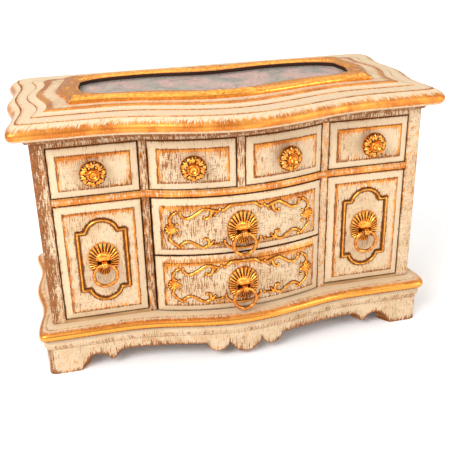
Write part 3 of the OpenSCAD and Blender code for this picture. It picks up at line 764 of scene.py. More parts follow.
def board(low, high, step, radius):
    """Points, faces and distance to the nearest edge of a box with rounded edges."""
    low, high = np.array(low), np.array(high)
    r = np.minimum(radius, 0.4 * (high - low))
    lines = [spaced(*ends, step, size) for *ends, size in zip(low, high, r)]
    pts, faces, count = [], [], 0
    for axis, (u, v) in enumerate(((1, 2), (0, 2), (0, 1))):
        for value in (low[axis], high[axis]):
            gu, gv = mesh_grid(lines[u], lines[v])
            p = np.full((gu.size, 3), value)
            p[:, u], p[:, v] = gu, gv
            pts.append(p)
            faces += [tuple(i + count for i in f) for f in grid_faces(len(lines[v]), len(lines[u]))]
            count += gu.size
    p = np.vstack(pts)
    edge = np.sort(np.hstack([p - low, high - p]), axis=1)[:, 1]
    core = np.clip(p, low + r, high - r)
    d = p - core
    size = np.linalg.norm(d / r, axis=1, keepdims=True)
    return core + d / np.maximum(size, 1), faces, edge


def add_board(shape, low, high, gild, dark, step=2.5, radius=0.6):
    """Adds a board to the shape. gild and dark are functions of (points, distance to the nearest edge)."""
    p, faces, edge = board(low, high, step, radius)
    x, y, z = p.T
    wide = high[0] - low[0] > 4 * (high[2] - low[2])
    flow = np.c_[x, z + y, 0 * x] if wide else np.c_[x + y, z, 0 * x]
    return shape.add(p, faces, flow=flow, gild=gild(p, edge), dark=dark(p, edge))


def painted_board(name, gild, dark, material, **fineness):
    shape = add_board(Shape(), *box_mm(name), gild, dark, **fineness)
    shape.build(name, "_painted", material, "case", 50)


def flat_values(value, edge_value=0.25, reach=2.0):
    def values(p, edge):
        return value + edge_value * np.exp(-edge / reach)
    return values


def reveal_values(value, front):
    """Like flat_values, but painted shade where the board stands beside a drawer front or a door, in the gap.
    """
    def values(p, edge):
        beside = (p[:, 1] > front + 1.2) & (p[:, 1] < front + 9)
        return np.where(beside, GAP_SHADE, value + 0.25 * np.exp(-edge / 1.5))
    return values


def build_stile(s, name):
    """A corner stile: the left one is rubbed to brown, the right one has a gold wash."""
    low, high = box_mm(name)
    door_side = min(abs(low[0]), abs(high[0]))

    def gild(p, edge):
        base = 0.16 + 0.10 * np.sin(p[:, 2] * 0.045 + 1.0) if s > 0 else 0.12
        return base + 0.25 * np.exp(-edge / 1.5)

    def dark(p, edge):
        x, y, z = p.T
        above, below = np.exp(-(high[2] - z) / 12), z - low[2]
        if s < 0:
            across = (x - low[0]) / (high[0] - low[0])
            worn = 0.82 - 0.42 * smooth_step(across, 0.35, 0.8) + 0.2 * above - 0.5 * np.exp(-below / 12)
        else:
            worn = 0.12 + 0.25 * above + 0.2 * np.exp(-below / 10)
        # painted shade on the face beside the door, in the gap
        beside = (y > low[1] + 1.2) & (np.abs(np.abs(x) - door_side) < 0.5)
        return np.where(beside, GAP_SHADE, worn + 0.25 * np.exp(-edge / 1.2))

    painted_board(name, gild, dark, PAINT_MOTTLED, radius=1.4, step=1.5)


def build_rail(name, bands):
    """A rail that follows the front, from rows of (height fraction, inset, gild, dark)."""
    low, high = box_mm(name)
    x = np.unique(np.concatenate([np.linspace(-RAIL_HALF, RAIL_HALF, 240), [-BOW_HALF, BOW_HALF]]))
    n = len(x)
    rear = (0.1, 0.5)
    bands = [(0.0, None, *rear)] + bands + [(1.0, None, *rear)]
    rows = []
    for part, inset, _, _ in bands:
        y = np.full(n, high[1]) if inset is None else face_line(x) + inset
        rows.append(np.c_[x, y, np.full(n, low[2] + (high[2] - low[2]) * part)])
    points = np.vstack(rows)
    first = range(0, len(points), n)
    faces = grid_faces(len(rows), n, loop=True) + [tuple(first), tuple(i + n - 1 for i in first)[::-1]]
    flow = points[:, [0, 2, 2]] * (1, 1, 0)
    _, _, gild, dark = zip(*bands)
    shape = Shape().add(points, faces, flow=flow, gild=np.repeat(gild, n), dark=np.repeat(dark, n))
    shape.build(name, "_painted", PAINT, "case", 35)


def build_rails():
    build_rail("mid_rail", [
        (0.0, 0.5, 0.9, 0.3), (0.08, 0.1, 1.0, 0.1), (0.3, 0.0, 0.75, 0.0), (0.6, 0.0, 0.5, 0.0),
        (0.9, 0.1, 0.75, 0.1), (1.0, 0.5, 0.6, 0.3)])
    build_rail("top_rail", [
        (0.0, 0.6, 0.2, 0.9), (0.15, 0.1, 0.25, 0.65), (0.5, 0.0, 0.2, 0.55), (0.85, -0.3, 0.2, 0.62),
        (1.0, 0.2, 0.1, 0.9)])


def build_dividers():
    """The three short dividers between the top drawers."""
    shape = Shape()
    low, high = box_mm("upper_dividers")
    tray_low = box_mm("upper_tray")[0]
    half = 3.1
    for x, gild, dark in ((-76.4, 0.15, 0.45), (0.0, 0.15, 0.35), (76.4, 0.25, 0.06)):
        front = bowed_y(0.0) if x == 0 else FACE
        add_board(shape, (x - half, front, low[2]), (x + half, tray_low[1], high[2]),
                  flat_values(gild), reveal_values(dark, front), step=1.5)
        add_board(shape, (x - half, tray_low[1], low[2]), (x + half, high[1], tray_low[2]),
                  flat_values(0.0), flat_values(0.1))
    shape.build("upper_dividers", "_painted", PAINT_MOTTLED, "case", 50)


def build_side(s, name):
    """A side panel with a raised field."""
    low, high = box_mm(name)
    proud = 1.5
    core_low, core_high = low.copy(), high.copy()
    face = high[0] - proud if s > 0 else low[0] + proud
    (core_high if s > 0 else core_low)[0] = face
    shape = add_board(Shape(), core_low, core_high, flat_values(0.0), flat_values(0.08, 0.35, 2.5))
    ends = np.array([0, 0.3, 1, 2, 4])

    def lines(start, stop):
        return np.concatenate([start + ends, np.linspace(start + 6, stop - 6, 60), (stop - ends)[::-1]])

    ys, zs = lines(low[1] + 20, high[1] - 18), lines(low[2] + 18, high[2] - 18)
    y, z = mesh_grid(ys, zs)
    d = np.min([y - ys[0], ys[-1] - y, z - zs[0], zs[-1] - z], axis=0)
    x = face + s * (proud * smooth_step(d, -0.1, 0.8) - 0.05)
    shape.add(np.c_[x, y, z], grid_faces(len(zs), len(ys)), flow=np.c_[y, z, 0 * y],
              gild=np.exp(-d / 1.6), dark=0.5 * np.exp(-d / 2.2) + 0.10)
    shape.build(name, "_painted", PAINT_MOTTLED, "case", 35)


# ---- Drawer fronts and doors --------------------------------------------

def front_lines(low, high):
    """Grid lines across a front, close together in its border and at the field's edge."""
    ends = np.array([0, 0.15, 0.4, 0.8, 1.6, 2.8, 4.2, 5.4, 6.0, BORDER - 0.25, BORDER, BORDER + 0.12,
                     BORDER + 0.35, BORDER + 0.8, BORDER + 1.4])
    middle = np.linspace(low + BORDER + 2, high - BORDER - 2, int(high - low - 2 * BORDER))
    return np.concatenate([low + ends, middle, (high - ends)[::-1]])


def bevel_height(d):
    """How far the front stands proud at a distance d inside its outer edge."""
    rise = 1.9 * np.clip((d - 0.3) / (BORDER - 0.5), 0, 1) + 0.3 * np.clip(d / 0.5, 0, 1) - 0.8
    return rise + (FIELD - 1.4) * smooth_step(d, BORDER - 0.25, BORDER + 0.35)


def build_front(name, body, seed, bowed=False, mottle=False, gold_top=False, wear=1.0, field=0.10,
                halo=None, gap_shades=(0.9, 2.1, 1.3, 1.8)):
    """A raised and fielded front over a CAD node's box. The field's edge is worn to gold and brown.
    The edges that stand in gaps get painted shade, near black: the last argument holds it for the left,
    right, top and bottom edges."""
    low, high = box_mm(name)
    xs, zs = front_lines(low[0], high[0]), front_lines(low[2], high[2])
    x, z = mesh_grid(xs, zs)
    left, right, down, up = x - low[0], high[0] - x, z - low[2], high[2] - z
    d = np.min([left, right, down, up], axis=0)
    y = (bowed_y(x) if bowed else FACE) - bevel_height(d)

    in_left, in_right, in_down, in_up = (side - BORDER for side in (left, right, down, up))
    inside = d > BORDER - 0.1
    phase = np.random.default_rng(10 * seed + 5).uniform(0, 6.28, 4)

    def waved(k, middle, swing, rate):
        return middle + swing * np.sin(x * rate + phase[k])

    gild = inside * most(
        (0.65 + 0.75 * wear) * fade(in_up, wear * waved(0, 3.5, 1.4, 0.06)),
        waved(2, 0.55, 0.15, 0.08) * fade(in_down, waved(1, 3.3, 1.4, 0.05)),
        1.1 * fade(np.minimum(in_left, in_right), 1.9))
    dark = inside * most(
        0.78 * fade(in_down, 3.4 * wear),
        0.62 * fade(in_left, 1.8),
        0.40 * fade(in_right, 1.5),
        waved(3, 0.36, 0.12, 0.11) * fade(in_up - 1, 3.0),
        field + 0.09 * (1 - 2 * left / (high[0] - low[0])))
    # Painted shade: a dark line in the crease at the foot of the field's step, and near-black edges where the
    # front stands in a gap; the outer edge is also a little darker.
    dark = most(dark, 0.85 * bell(d - (BORDER - 0.35), 0.45), 0.55 * np.exp(-d / 0.7) * (d < 3),
                *(gap * bell(side, 0.45) for gap, side in zip(gap_shades, (left, right, up, down))))
    if gold_top:
        gild = most(gild, (in_up < 0) * (0.15 + 0.11 * up) * (up < left) * (up < right))
    if halo:
        near = halo(x, z) * inside
        dark = most(dark, near)
        gild = most(gild, 0.6 * near)

    n, cols = len(x), len(xs)
    faces = grid_faces(len(zs), cols)
    faces += [tuple(n + i for i in f[::-1]) for f in faces]
    border = [*range(cols), *range(2 * cols - 1, n, cols), *range(n - 2, n - cols - 1, -1),
              *range(n - 2 * cols, 0, -cols)]
    faces += [(a, b, n + b, n + a) for a, b in zip(border, border[1:] + border[:1])]
    flow = np.c_[x + seed * 40, z, 0 * x]
    points = np.vstack([np.c_[x, y, z], np.c_[x, np.full(n, high[1]), z]])
    shape = Shape().add(points, faces, flow=np.vstack([flow, flow]),
                        gild=np.r_[gild, np.zeros(n)], dark=np.r_[dark, np.full(n, 0.3)])
    shape.build(name, "_painted", PAINT_MOTTLED if mottle else PAINT, body, 28)


DOOR_X = 114.4
DOOR_FRAME_HALF, DOOR_FRAME_Z = 19.3, (72.8, 124.6)
ARCH_R, ARCH_RISE = 13.45, 10.0
SCROLL_5, SCROLL_6 = 121.0, 69.5         # the heights of the scrollwork's middles
KNOB_Z, SIDE_KNOB_X, BOWED_KNOB_X = 176.5, 116.5, 38.0
DOOR_PLATE_Z, PLATE_5_Z, PLATE_6_Z = 97.0, 117.0, 65.5


def door_frame_line(n):
    """The middle line of the door's gilt frame about x = 0, as a closed loop with n points in an arch."""
    half = math.sqrt(ARCH_R ** 2 - (ARCH_R - ARCH_RISE) ** 2)
    reach = math.asin(half / ARCH_R)
    a = np.linspace(-reach, reach, n)
    arch = np.c_[ARCH_R * np.sin(a), ARCH_RISE - ARCH_R + ARCH_R * np.cos(a)]
    lower, upper = DOOR_FRAME_Z
    w = DOOR_FRAME_HALF
    return np.vstack([(w, lower), (w, upper), arch[::-1] + (0, upper), (-w, upper), (-w, lower),
                      arch * (1, -1) + (0, lower)])


def line_distance(x, z, line, closed):
    ends = np.roll(line, -1, 0) if closed else line[1:]
    return np.min([segment_gap(np.c_[x, z], a, b)[0] for a, b in zip(line, ends)], axis=0)


def door_halo(s):
    """The dark rim of the gilt frame on a door's field: a brown rim, and painted shadow, near black, right at
    the frame's edge.
    """
    def halo(x, z):
        out = np.maximum(line_distance(x - s * DOOR_X, z, door_frame_line(16), True) - 1.5, 0)
        return 0.85 * np.exp(-out / 1.4) + 0.8 * np.exp(-out / 0.35)
    return halo


def scroll_halo(z_mid):
    """The dark rim of the scrollwork on a drawer's field: a brown rim and a brown patch round the shell
    plate, with painted shadow, near black, right under the strokes.
    """
    def halo(x, z):
        across, up = -np.abs(x), z - z_mid
        lines = [line[::2] for line, _, _ in scroll_strokes() if len(line) > 2]     # all but the beads
        best = np.min([line_distance(across, up, line, False) for line in lines], axis=0)
        out = np.maximum(best - 1.0, 0)
        shell = np.hypot(x / 13.5, (up + 2.0) / 17.0)
        return most(0.35 * np.exp(-out) + 0.9 * np.exp(-out / 0.3), 0.7 * fade(shell - 0.95, 0.1))
    return halo


def build_fronts():
    build_front("drawer_1_front", "drawer_1", 1)
    build_front("drawer_2_front", "drawer_2", 2, bowed=True, mottle=True, field=0.37)
    build_front("drawer_3_front", "drawer_3", 3, bowed=True, field=0.14)
    build_front("drawer_4_front", "drawer_4", 4)
    build_front("drawer_5_front", "drawer_5", 5, bowed=True, mottle=True, field=0.31, wear=0.8,
                halo=scroll_halo(SCROLL_5), gap_shades=(2.3, 1.2, 2.0, 2.0))
    build_front("drawer_6_front", "drawer_6", 6, bowed=True, mottle=True, field=0.31, wear=0.8,
                halo=scroll_halo(SCROLL_6), gap_shades=(2.3, 1.2, 1.6, 1.5), gold_top=True)
    build_front("left_door_panel", "left_door", 7, wear=0.6, field=0.16, halo=door_halo(-1))
    build_front("right_door_panel", "right_door", 8, wear=0.6, field=0.14, halo=door_halo(1))


def swept(line, section, y_face):
    """Sweeps a section of (offset, height) round a closed line in x and z with mitred corners."""
    ahead = np.roll(line, -1, 0) - line
    ahead /= np.linalg.norm(ahead, axis=1, keepdims=True)
    after = np.c_[ahead[:, 1], -ahead[:, 0]]
    before = np.roll(after, 1, 0)
    mitre = before + after
    mitre /= np.maximum((mitre * before).sum(1, keepdims=True), 0.3)
    rings = [np.insert(line + mitre * offset, 1, y_face - height, axis=1) for offset, height in section]
    return np.vstack(rings), grid_faces(len(section), len(line), wrap=True, loop=True)


def resample(line, step):
    """Points a step apart on a closed line, keeping every corner."""
    out = []
    for a, b in zip(line, np.roll(line, -1, 0)):
        k = max(1, int(np.linalg.norm(b - a) / step))
        out += [a + (b - a) * j / k for j in range(k)]
    return np.array(out)


def build_door_frame(s, name, body):
    line = resample(door_frame_line(24), 1.2) + (s * DOOR_X, 0)
    rows = [(-1.55, 0.0, 0.9), (-1.5, 0.7, 0.8), (-1.1, 1.0, 0.6), (-0.8, 0.9, 1.0), (-0.6, 1.3, 0.4),
            (-0.3, 1.8, 0.0), (0.1, 2.0, 0.0), (0.5, 1.85, 0.0), (0.8, 1.4, 0.3), (1.0, 0.95, 1.0),
            (1.2, 1.0, 0.6), (1.5, 0.7, 0.8), (1.55, 0.0, 0.9)]
    pts, faces = swept(line, [row[:2] for row in rows], FACE - FIELD)
    shape = Shape().add(pts, faces, recess=np.repeat([row[2] for row in rows], len(line)))
    shape.build(name, "_bead", CAST, body, 50)


# ---- Cast hardware ------------------------------------------------------

def knob_strokes():
    """Scrolls, leaves and beads in a ring, for the knob's dome, in its own plane."""
    strokes = []
    sectors = 7
    for i in range(sectors):
        a = 360 / sectors * i + 12
        b = a + 180 / sectors
        strokes.append((curl(polar(a, 8.4), 1.7, a + 200), np.linspace(0.55, 0.8, 18), 1.0))
        strokes += leaf_fan(polar(b, 5.4), b + 8, 4.9, 3, 64, 0.8, 1.0)
        for radius, turn in ((6.2, 0), (10.2, 15)):
            dot = polar(a + turn, radius)
            strokes.append(([dot, dot * 1.03], [0.7, 0.7], 0.9))
    return strokes


def knob_mesh():
    """A foot, a domed ring of relief and a dished button, turned about the axis."""
    foot = [(0.01, 0.0), (5.6, 0.0), (5.4, 1.0), (5.0, 2.4), (6.0, 3.6), (8.6, 4.1), (10.0, 4.5),
            (10.6, 5.1), (10.8, 5.7), (10.7, 6.2), (10.5, 6.6)]
    dome = [(r, 6.5 + 3.6 * math.sqrt(1 - ((r - 1.6) / 9.0) ** 2)) for r in np.linspace(10.4, 5.3, 30)]
    button = [(5.0, 9.7), (4.85, 9.6), (4.7, 9.9), (4.6, 10.6), (4.5, 11.2), (4.25, 11.7), (3.95, 11.9),
              (3.65, 11.7), (3.4, 11.2), (2.9, 10.5), (2.2, 9.9), (1.4, 9.6), (0.7, 9.5), (0.01, 9.45)]
    section = np.array(foot + dome + button)
    radius, height = section.T
    n = 180
    angle = np.tile(full_turn(n), len(section))
    r, h = np.repeat(section, n, axis=0).T
    flat = np.c_[r * np.cos(angle), r * np.sin(angle)]
    place = np.arange(len(section)) - len(foot)
    on_dome = (place >= 0) & (place < len(dome))
    ease = np.clip(np.minimum(place, len(dome) - 1 - place) / 3, 0, 1)
    lift = stroke_height(flat, knob_strokes()) * np.repeat(ease, n)
    ground = np.select([on_dome, np.isin(radius, (4.85, 3.4)), height < 4.2, radius < 2.3],
                       [0.85, 0.7, 0.75, 0.3], 0.05)
    recess = np.clip(np.repeat(ground, n) - 1.35 * lift, 0, 1)
    return np.c_[flat, h + 0.85 * lift], grid_faces(len(section), n, wrap=True), recess


def build_knob(number, s, bowed):
    """A knob whose axis points along -y, or out of the bowed face."""
    turn = 0.0
    origin = (s * SIDE_KNOB_X, FACE - FIELD, KNOB_Z)
    if bowed:
        turn, reach = s * math.asin(BOWED_KNOB_X / BOW_R), BOW_R + FIELD - 0.1
        origin = (reach * math.sin(turn), BOW_Y - reach * math.cos(turn), KNOB_Z)
    pts, faces, recess = knob_mesh()
    x, z, out = pts.T * [[1], [1], [-1]]
    placed = np.c_[x * math.cos(turn) - out * math.sin(turn), x * math.sin(turn) + out * math.cos(turn), z]
    shape = Shape().add(placed + origin, faces, recess=recess)
    shape.build(f"drawer_{number}_knob", "_cast", CAST, f"drawer_{number}", 60)


def shell_mesh():
    """A fluted shell plate with a hooded boss and a slot, as points (x, z, height)."""
    angles, radii = 360, 40
    around = full_turn(angles)
    off_down = np.abs((np.degrees(around) - 90) % 360 - 180)       # degrees away from straight down
    upper = smooth_step(off_down, 36, 46)
    rim_up = 12.4 + 5.4 * np.clip(np.sin(around), 0, 1) ** 1.5
    rim_low = 11.4 - 2.0 * smooth_step(off_down, 10, 36)
    rim = (rim_low * (1 - upper) + rim_up * upper) * (1 - 0.42 * bell(off_down - 40, 6.0))
    rim *= 1 + 0.032 * np.cos(around * 30)
    out, turn = np.meshgrid(np.linspace(0, 1, radii), around, indexing="ij")
    x, z = out * rim * np.cos(turn), out * rim * np.sin(turn)
    ridge = np.abs(np.cos(turn * 15)) ** 1.3
    amount = smooth_step(out, 0.30, 0.5) * (1 - 0.35 * smooth_step(out, 0.9, 1.0))
    dome = 0.5 + 2.1 * np.sqrt(np.clip(1 - (out * 0.96) ** 2, 0, 1))
    height = dome + 1.25 * (ridge - 0.6) * amount
    recess = np.clip((0.85 - ridge) * 1.8, 0, 1) * amount
    # the hooded boss above the slot
    hood = np.sqrt(np.clip(1 - (x / 6.2) ** 2 - ((z - 4.8) / 5.0) ** 2, 0, 1)) * (z > 2.0)
    beads = np.abs(np.sin(x * 2.4)) * smooth_step(hood, 0.25, 0.5) * (1 - smooth_step(hood, 0.72, 0.85))
    height = np.maximum(height, 1.6 + 3.3 * hood) + 0.35 * beads
    recess = np.where(hood > 0.05, np.clip(0.55 - hood - 0.5 * beads, 0, 1), recess)
    # the slot under the hood, darkened as painted shade
    slot = smooth_step(5.6 - np.abs(x), 0, 0.9) * smooth_step(2.4 - np.abs(z - 0.2), 0, 0.6)
    height = height * (1 - slot) + 0.6 * slot
    recess = np.maximum(recess, slot)
    height[-1] = 0.15
    pts = np.vstack([stacked(x, z, height), np.c_[x[-1], z[-1], np.full(angles, -0.4)]])
    faces = grid_faces(radii + 1, angles, wrap=True) + [end_face(radii, angles)]
    return pts, faces, np.r_[recess.ravel(), np.full(angles, 0.9)]


def claw_mesh():
    """Three rounded fingers that hold the ring's top, as points (x, z, height)."""
    n, m = 40, 28
    along, turn = np.meshgrid(np.linspace(-1, 1, n), full_turn(m), indexing="ij")
    finger = np.abs(np.cos(along * np.pi * 1.5))
    r = (2.75 + 0.3 * finger) * (1 - 0.35 * smooth_step(np.abs(along), 0.9, 1.0))
    x, z, out = along * 2.2, -0.5 + r * np.sin(turn), 6.0 + r * np.cos(turn)
    faces = grid_faces(n, m, wrap=True) + [end_face(0, m), end_face(n - 1, m, flip=True)]
    return stacked(x, z, out), faces, np.clip(0.9 - 1.2 * finger, 0, 1).ravel()


def neck_mesh():
    """The block that joins the claw to the shell."""
    pts, faces, _ = board((-2.1, -3.6, 0.2), (2.1, 1.6, 5.0), 1.0, 0.5)
    return pts, faces, np.full(len(pts), 0.5)


def build_plate(name, body, origin):
    shape = Shape()
    for pts, faces, recess in (shell_mesh(), claw_mesh(), neck_mesh()):
        shape.add(pts[:, [0, 2, 1]] * (1, -1, 1) + origin, faces, recess=recess)
    shape.build(name, "_cast", CAST, body, 55)


def build_ring(name, body):
    """A ring pull of round wire, a little thicker at its foot."""
    low, high = box_mm(name)
    wire = 1.55
    n, m = 96, 20
    angle, around = np.repeat(full_turn(n), m), np.tile(full_turn(m), n)
    thick = wire * (0.93 + 0.07 * (1 - np.cos(angle)) / 2)
    radius = (high[2] - low[2]) / 2 - 1.2 + thick * np.cos(around)
    pts = np.c_[radius * np.sin(angle), -thick * np.sin(around) * 0.98, radius * np.cos(angle)]
    recess = np.clip(-np.cos(around), 0, 1) * 0.55 + 0.1
    shape = Shape().add(pts + (low + high) / 2, grid_faces(n, m, wrap=True, loop=True), recess=recess)
    shape.build(name, "_wire", WIRE, body, 60)


def build_pulls():
    """Shell plates, then their rings."""
    field_y, bow_y = FACE - FIELD, BOW_Y - BOW_R - FIELD
    build_plate("left_door_plate", "left_door", (-DOOR_X, field_y, DOOR_PLATE_Z))
    build_plate("right_door_plate", "right_door", (DOOR_X, field_y, DOOR_PLATE_Z))
    build_plate("drawer_5_plate", "drawer_5", (0.0, bow_y, PLATE_5_Z))
    build_plate("drawer_6_plate", "drawer_6", (0.0, bow_y, PLATE_6_Z))
    build_ring("left_door_ring", "left_ring_pull")
    build_ring("right_door_ring", "right_ring_pull")
    build_ring("drawer_5_ring", "upper_ring_pull")
    build_ring("drawer_6_ring", "lower_ring_pull")


# ---- Scrollwork ---------------------------------------------------------

def scroll_strokes():
    """The left half of the scrollwork about the field's middle: lines in x and z, radii and height."""
    strokes = []

    def line(points, first, middle, last, high=1.9):
        p = catmull(points, 6)
        t = np.linspace(0, 1, len(p))
        strokes.append((p, np.interp(t, [0, 0.5, 1], [first, middle, last]), high))

    def bead(x, z, r, high=2.1):
        strokes.append((np.array([(x, z), (x + 0.3, z)]), np.array([r, r]), high))

    # upper run, from the middle outwards
    line([(0, 20.2), (-5, 20.3), (-10, 19.9), (-13.5, 17.6), (-16, 15.2)], 0.9, 1.25, 0.8)
    bead(-16.6, 16.2, 1.5)
    bead(-19.0, 17.2, 1.5)
    line([(-19.4, 16.0), (-21.7, 15.7), (-25, 16.6), (-28, 17.6)], 0.8, 1.0, 1.3)
    line([(-21.2, 15.4), (-22.6, 13.0), (-23.8, 11.6)], 0.9, 0.8, 0.5, 1.5)
    line([(-25.4, 16.8), (-26.2, 13.6), (-27.6, 10.8), (-30.0, 9.2), (-32.0, 9.9)], 1.2, 1.3, 0.9)
    bead(-31.8, 10.9, 1.5)
    line([(-26.5, 17.4), (-31.5, 17.9), (-34.6, 16.2), (-38, 13.9), (-42, 11.3), (-46.3, 10.2),
          (-49.4, 12.0), (-51.2, 14.6)], 1.1, 1.5, 0.9)
    bead(-50.8, 15.8, 1.6)
    bead(-54.2, 15.9, 1.4)
    line([(-53.6, 15.4), (-56.2, 14.4), (-58.2, 12.0), (-59.4, 9.0), (-58.8, 6.4), (-56.6, 4.9)],
         0.8, 1.2, 0.9)
    # the small shell at the end: a fan of petals with three beads on its inner side
    strokes.append((np.array([(-58.2, 0.4), (-57.0, 0.4)]), np.array([4.3, 4.3]), 1.5))
    for angle in (112, 139, 166, 194, 221, 248):
        petal = np.array([(-57.4, 0.4) + polar(angle, reach) for reach in (1.2, 3.6, 5.4)])
        strokes.append((petal, np.array([0.5, 0.95, 1.1]), 2.2))
    for x, z, r in ((-53.8, 5.2, 1.5), (-53.9, 0.4, 1.9), (-53.8, -4.2, 1.5)):
        bead(x, z, r, 2.4)
    # lower run, from the shell to the middle
    line([(-58.6, -5.0), (-60.0, -7.2), (-58.6, -10.0), (-55.6, -12.8), (-52.2, -15.6)], 0.9, 1.2, 0.8)
    bead(-50.4, -15.4, 1.6)
    line([(-51.6, -13.8), (-49.5, -12.0), (-46.6, -10.6), (-43.4, -10.8), (-39.4, -13.2), (-36, -15.4),
          (-32.6, -16.2), (-29.6, -14.8), (-28.4, -11.8), (-29.4, -9.0), (-31.6, -8.4)], 1.0, 1.35, 1.2)
    bead(-31.9, -9.0, 1.5)
    line([(-28.6, -14.6), (-26.2, -13.0), (-24.6, -10.8)], 1.0, 0.8, 0.45, 1.5)
    line([(-28.2, -14.6), (-23, -14.2), (-19.2, -13.9)], 0.7, 0.7, 0.7)
    bead(-19.0, -13.2, 1.2)
    bead(-15.4, -11.6, 1.5)
    line([(-15.6, -12.6), (-13.6, -15.8), (-10.3, -18.0), (-5, -19.2), (0, -19.4)], 0.9, 1.2, 0.9)
    return strokes


def build_scrollwork(name, body, z_mid):
    """Rounded scrolls laid on the bowed field, joined where they meet."""
    shape = Shape()
    m = 10
    a = np.pi * np.arange(m) / (m - 1)
    for left, radii, high in scroll_strokes():
        for line in (left, left * (-1, 1)):
            d = np.gradient(line, axis=0)
            d /= np.linalg.norm(d, axis=1, keepdims=True)
            side = np.c_[-d[:, 1], d[:, 0]]
            start, stop = line[0] - d[0] * radii[0] * 0.8, line[-1] + d[-1] * radii[-1] * 0.8
            centres = np.vstack([start, line, stop])
            reach = np.r_[radii[0] * 0.35, radii, radii[-1] * 0.35][:, None]
            across = np.vstack([side[0], side, side[-1]]) * reach
            rows = len(centres)
            x, z = (centres[:, [k]] + across[:, [k]] * np.cos(a) for k in (0, 1))
            lift = high * (reach / radii.max()) * np.sin(a).clip(0) ** 0.8
            lift[:, [0, -1]] = -0.25
            faces = grid_faces(rows, m)
            faces += [(i * m, (i + 1) * m, (i + 1) * m + m - 1, i * m + m - 1) for i in range(rows - 1)]
            faces += [end_face(0, m), end_face(rows - 1, m, flip=True)]
            pts = stacked(x, bowed_y(x) - FIELD - lift, z + z_mid)
            shape.add(pts, faces, recess=np.tile(np.clip(1.2 - 1.4 * np.sin(a), 0, 1), rows))
    shape.build(name, "_cast", CAST, body, 55)


# ---- Linings and the ring cushion ---------------------------------------

def build_lining(number):
    """A flocked lining inside a drawer's box: a floor and four walls with rounded corners."""
    low, high = box_mm(f"drawer_{number}_box")
    wall, floor, thick, corner = 3.0, 2.5, 0.8, 2.0
    top = high[2] - 1.0
    low, high = low + (wall, wall, floor), high - wall
    rings = []
    for inset, z in ((0, low[2]), (0, top), (thick, top), (thick, low[2] + thick + 1.2),
                     (thick + 1.2, low[2] + thick)):
        x0, y0 = low[:2] + inset + corner
        x1, y1 = high[:2] - inset - corner
        rings += [(cx + corner * math.cos(a), cy + corner * math.sin(a), z)
                  for cx, cy, start in ((x1, y0, -90), (x1, y1, 0), (x0, y1, 90), (x0, y0, 180))
                  for a in np.radians(np.linspace(start, start + 90, 7))]
    n, rows = 28, 5
    faces = grid_faces(rows, n, wrap=True) + [end_face(0, n, flip=True), end_face(rows - 1, n)]
    shape = Shape().add(rings, faces)
    obj = shape.build(f"drawer_{number}", "_lining", VELVET, f"drawer_{number}", extra=True)


ROLL_COUNT = 10


def roll_tube(centre_y, low, high):
    """One roll as a closed tube along x with rounded, gathered ends, a little thinner than it will be."""
    full = (high[2] - low[2]) / 2
    half = (high[0] - low[0]) / 2 - 0.4
    rows, n = 56, 28
    along, turn = np.meshgrid(np.linspace(-1, 1, rows), full_turn(n), indexing="ij")
    r = (full - 0.7) * (1 - np.maximum(0, np.abs(along) - 0.94) / 0.06 * 0.55)
    x = (low[0] + high[0]) / 2 + half * along
    y, z = centre_y + r * np.cos(turn), low[2] + full + r * np.sin(turn)
    faces = grid_faces(rows, n, wrap=True) + [end_face(0, n), end_face(rows - 1, n, flip=True)]
    return stacked(x, y, z), faces


def inflate(obj, cap):
    """Blows the piece up with a cloth simulation. No point moves further than cap, in metres."""
    start = np.array([v.co[:] for v in obj.data.vertices])
    scene = bpy.context.scene
    cloth = obj.modifiers.new("cloth", "CLOTH")
    cloth.settings.use_pressure = True
    cloth.settings.uniform_pressure_force = 4
    cloth.settings.effector_weights.gravity = 0
    cloth.point_cache.frame_start, cloth.point_cache.frame_end = 1, 20
    for f in range(1, 21):
        scene.frame_set(f)
    shown = obj.evaluated_get(bpy.context.evaluated_depsgraph_get())
    move = np.array([v.co[:] for v in shown.data.vertices]) - start
    obj.modifiers.remove(cloth)
    scene.frame_set(1)
    far = np.linalg.norm(move, axis=1, keepdims=True)
    return start + move * np.minimum(1, cap / np.maximum(far, 1e-9))


def build_rolls():
    """The ring cushion: soft rolls side by side, with creases where rings are pushed in."""
    low, high = box_mm("ring_rolls")
    full = (high[2] - low[2]) / 2
    shape = Shape()
    for y in np.linspace(low[1] + full, high[1] - full, ROLL_COUNT):
        shape.add(*roll_tube(y, low, high))
    obj = shape.build("ring_rolls", "_padded", VELVET, "case", 180)
    x, y, z = (inflate(obj, 0.5 * MM) / MM).T
    bend = np.random.default_rng(11).uniform(0, 6.28, 4)
    crease = 0.12 * np.sin(x * 0.55 + bend[0] + 0.3 * y) + 0.08 * np.sin(x * 1.1 - 0.7 * y + bend[1])
    z = np.clip(z + crease * (z > low[2] + full), low[2] + 0.25, high[2] - 0.1)
    points = np.c_[np.clip(x, low[0], high[0]), np.clip(y, low[1], high[1]), z]
    obj.data.vertices.foreach_set("co", (points * MM).ravel())
    obj.data.update()


# ---- Build everything ---------------------------------------------------

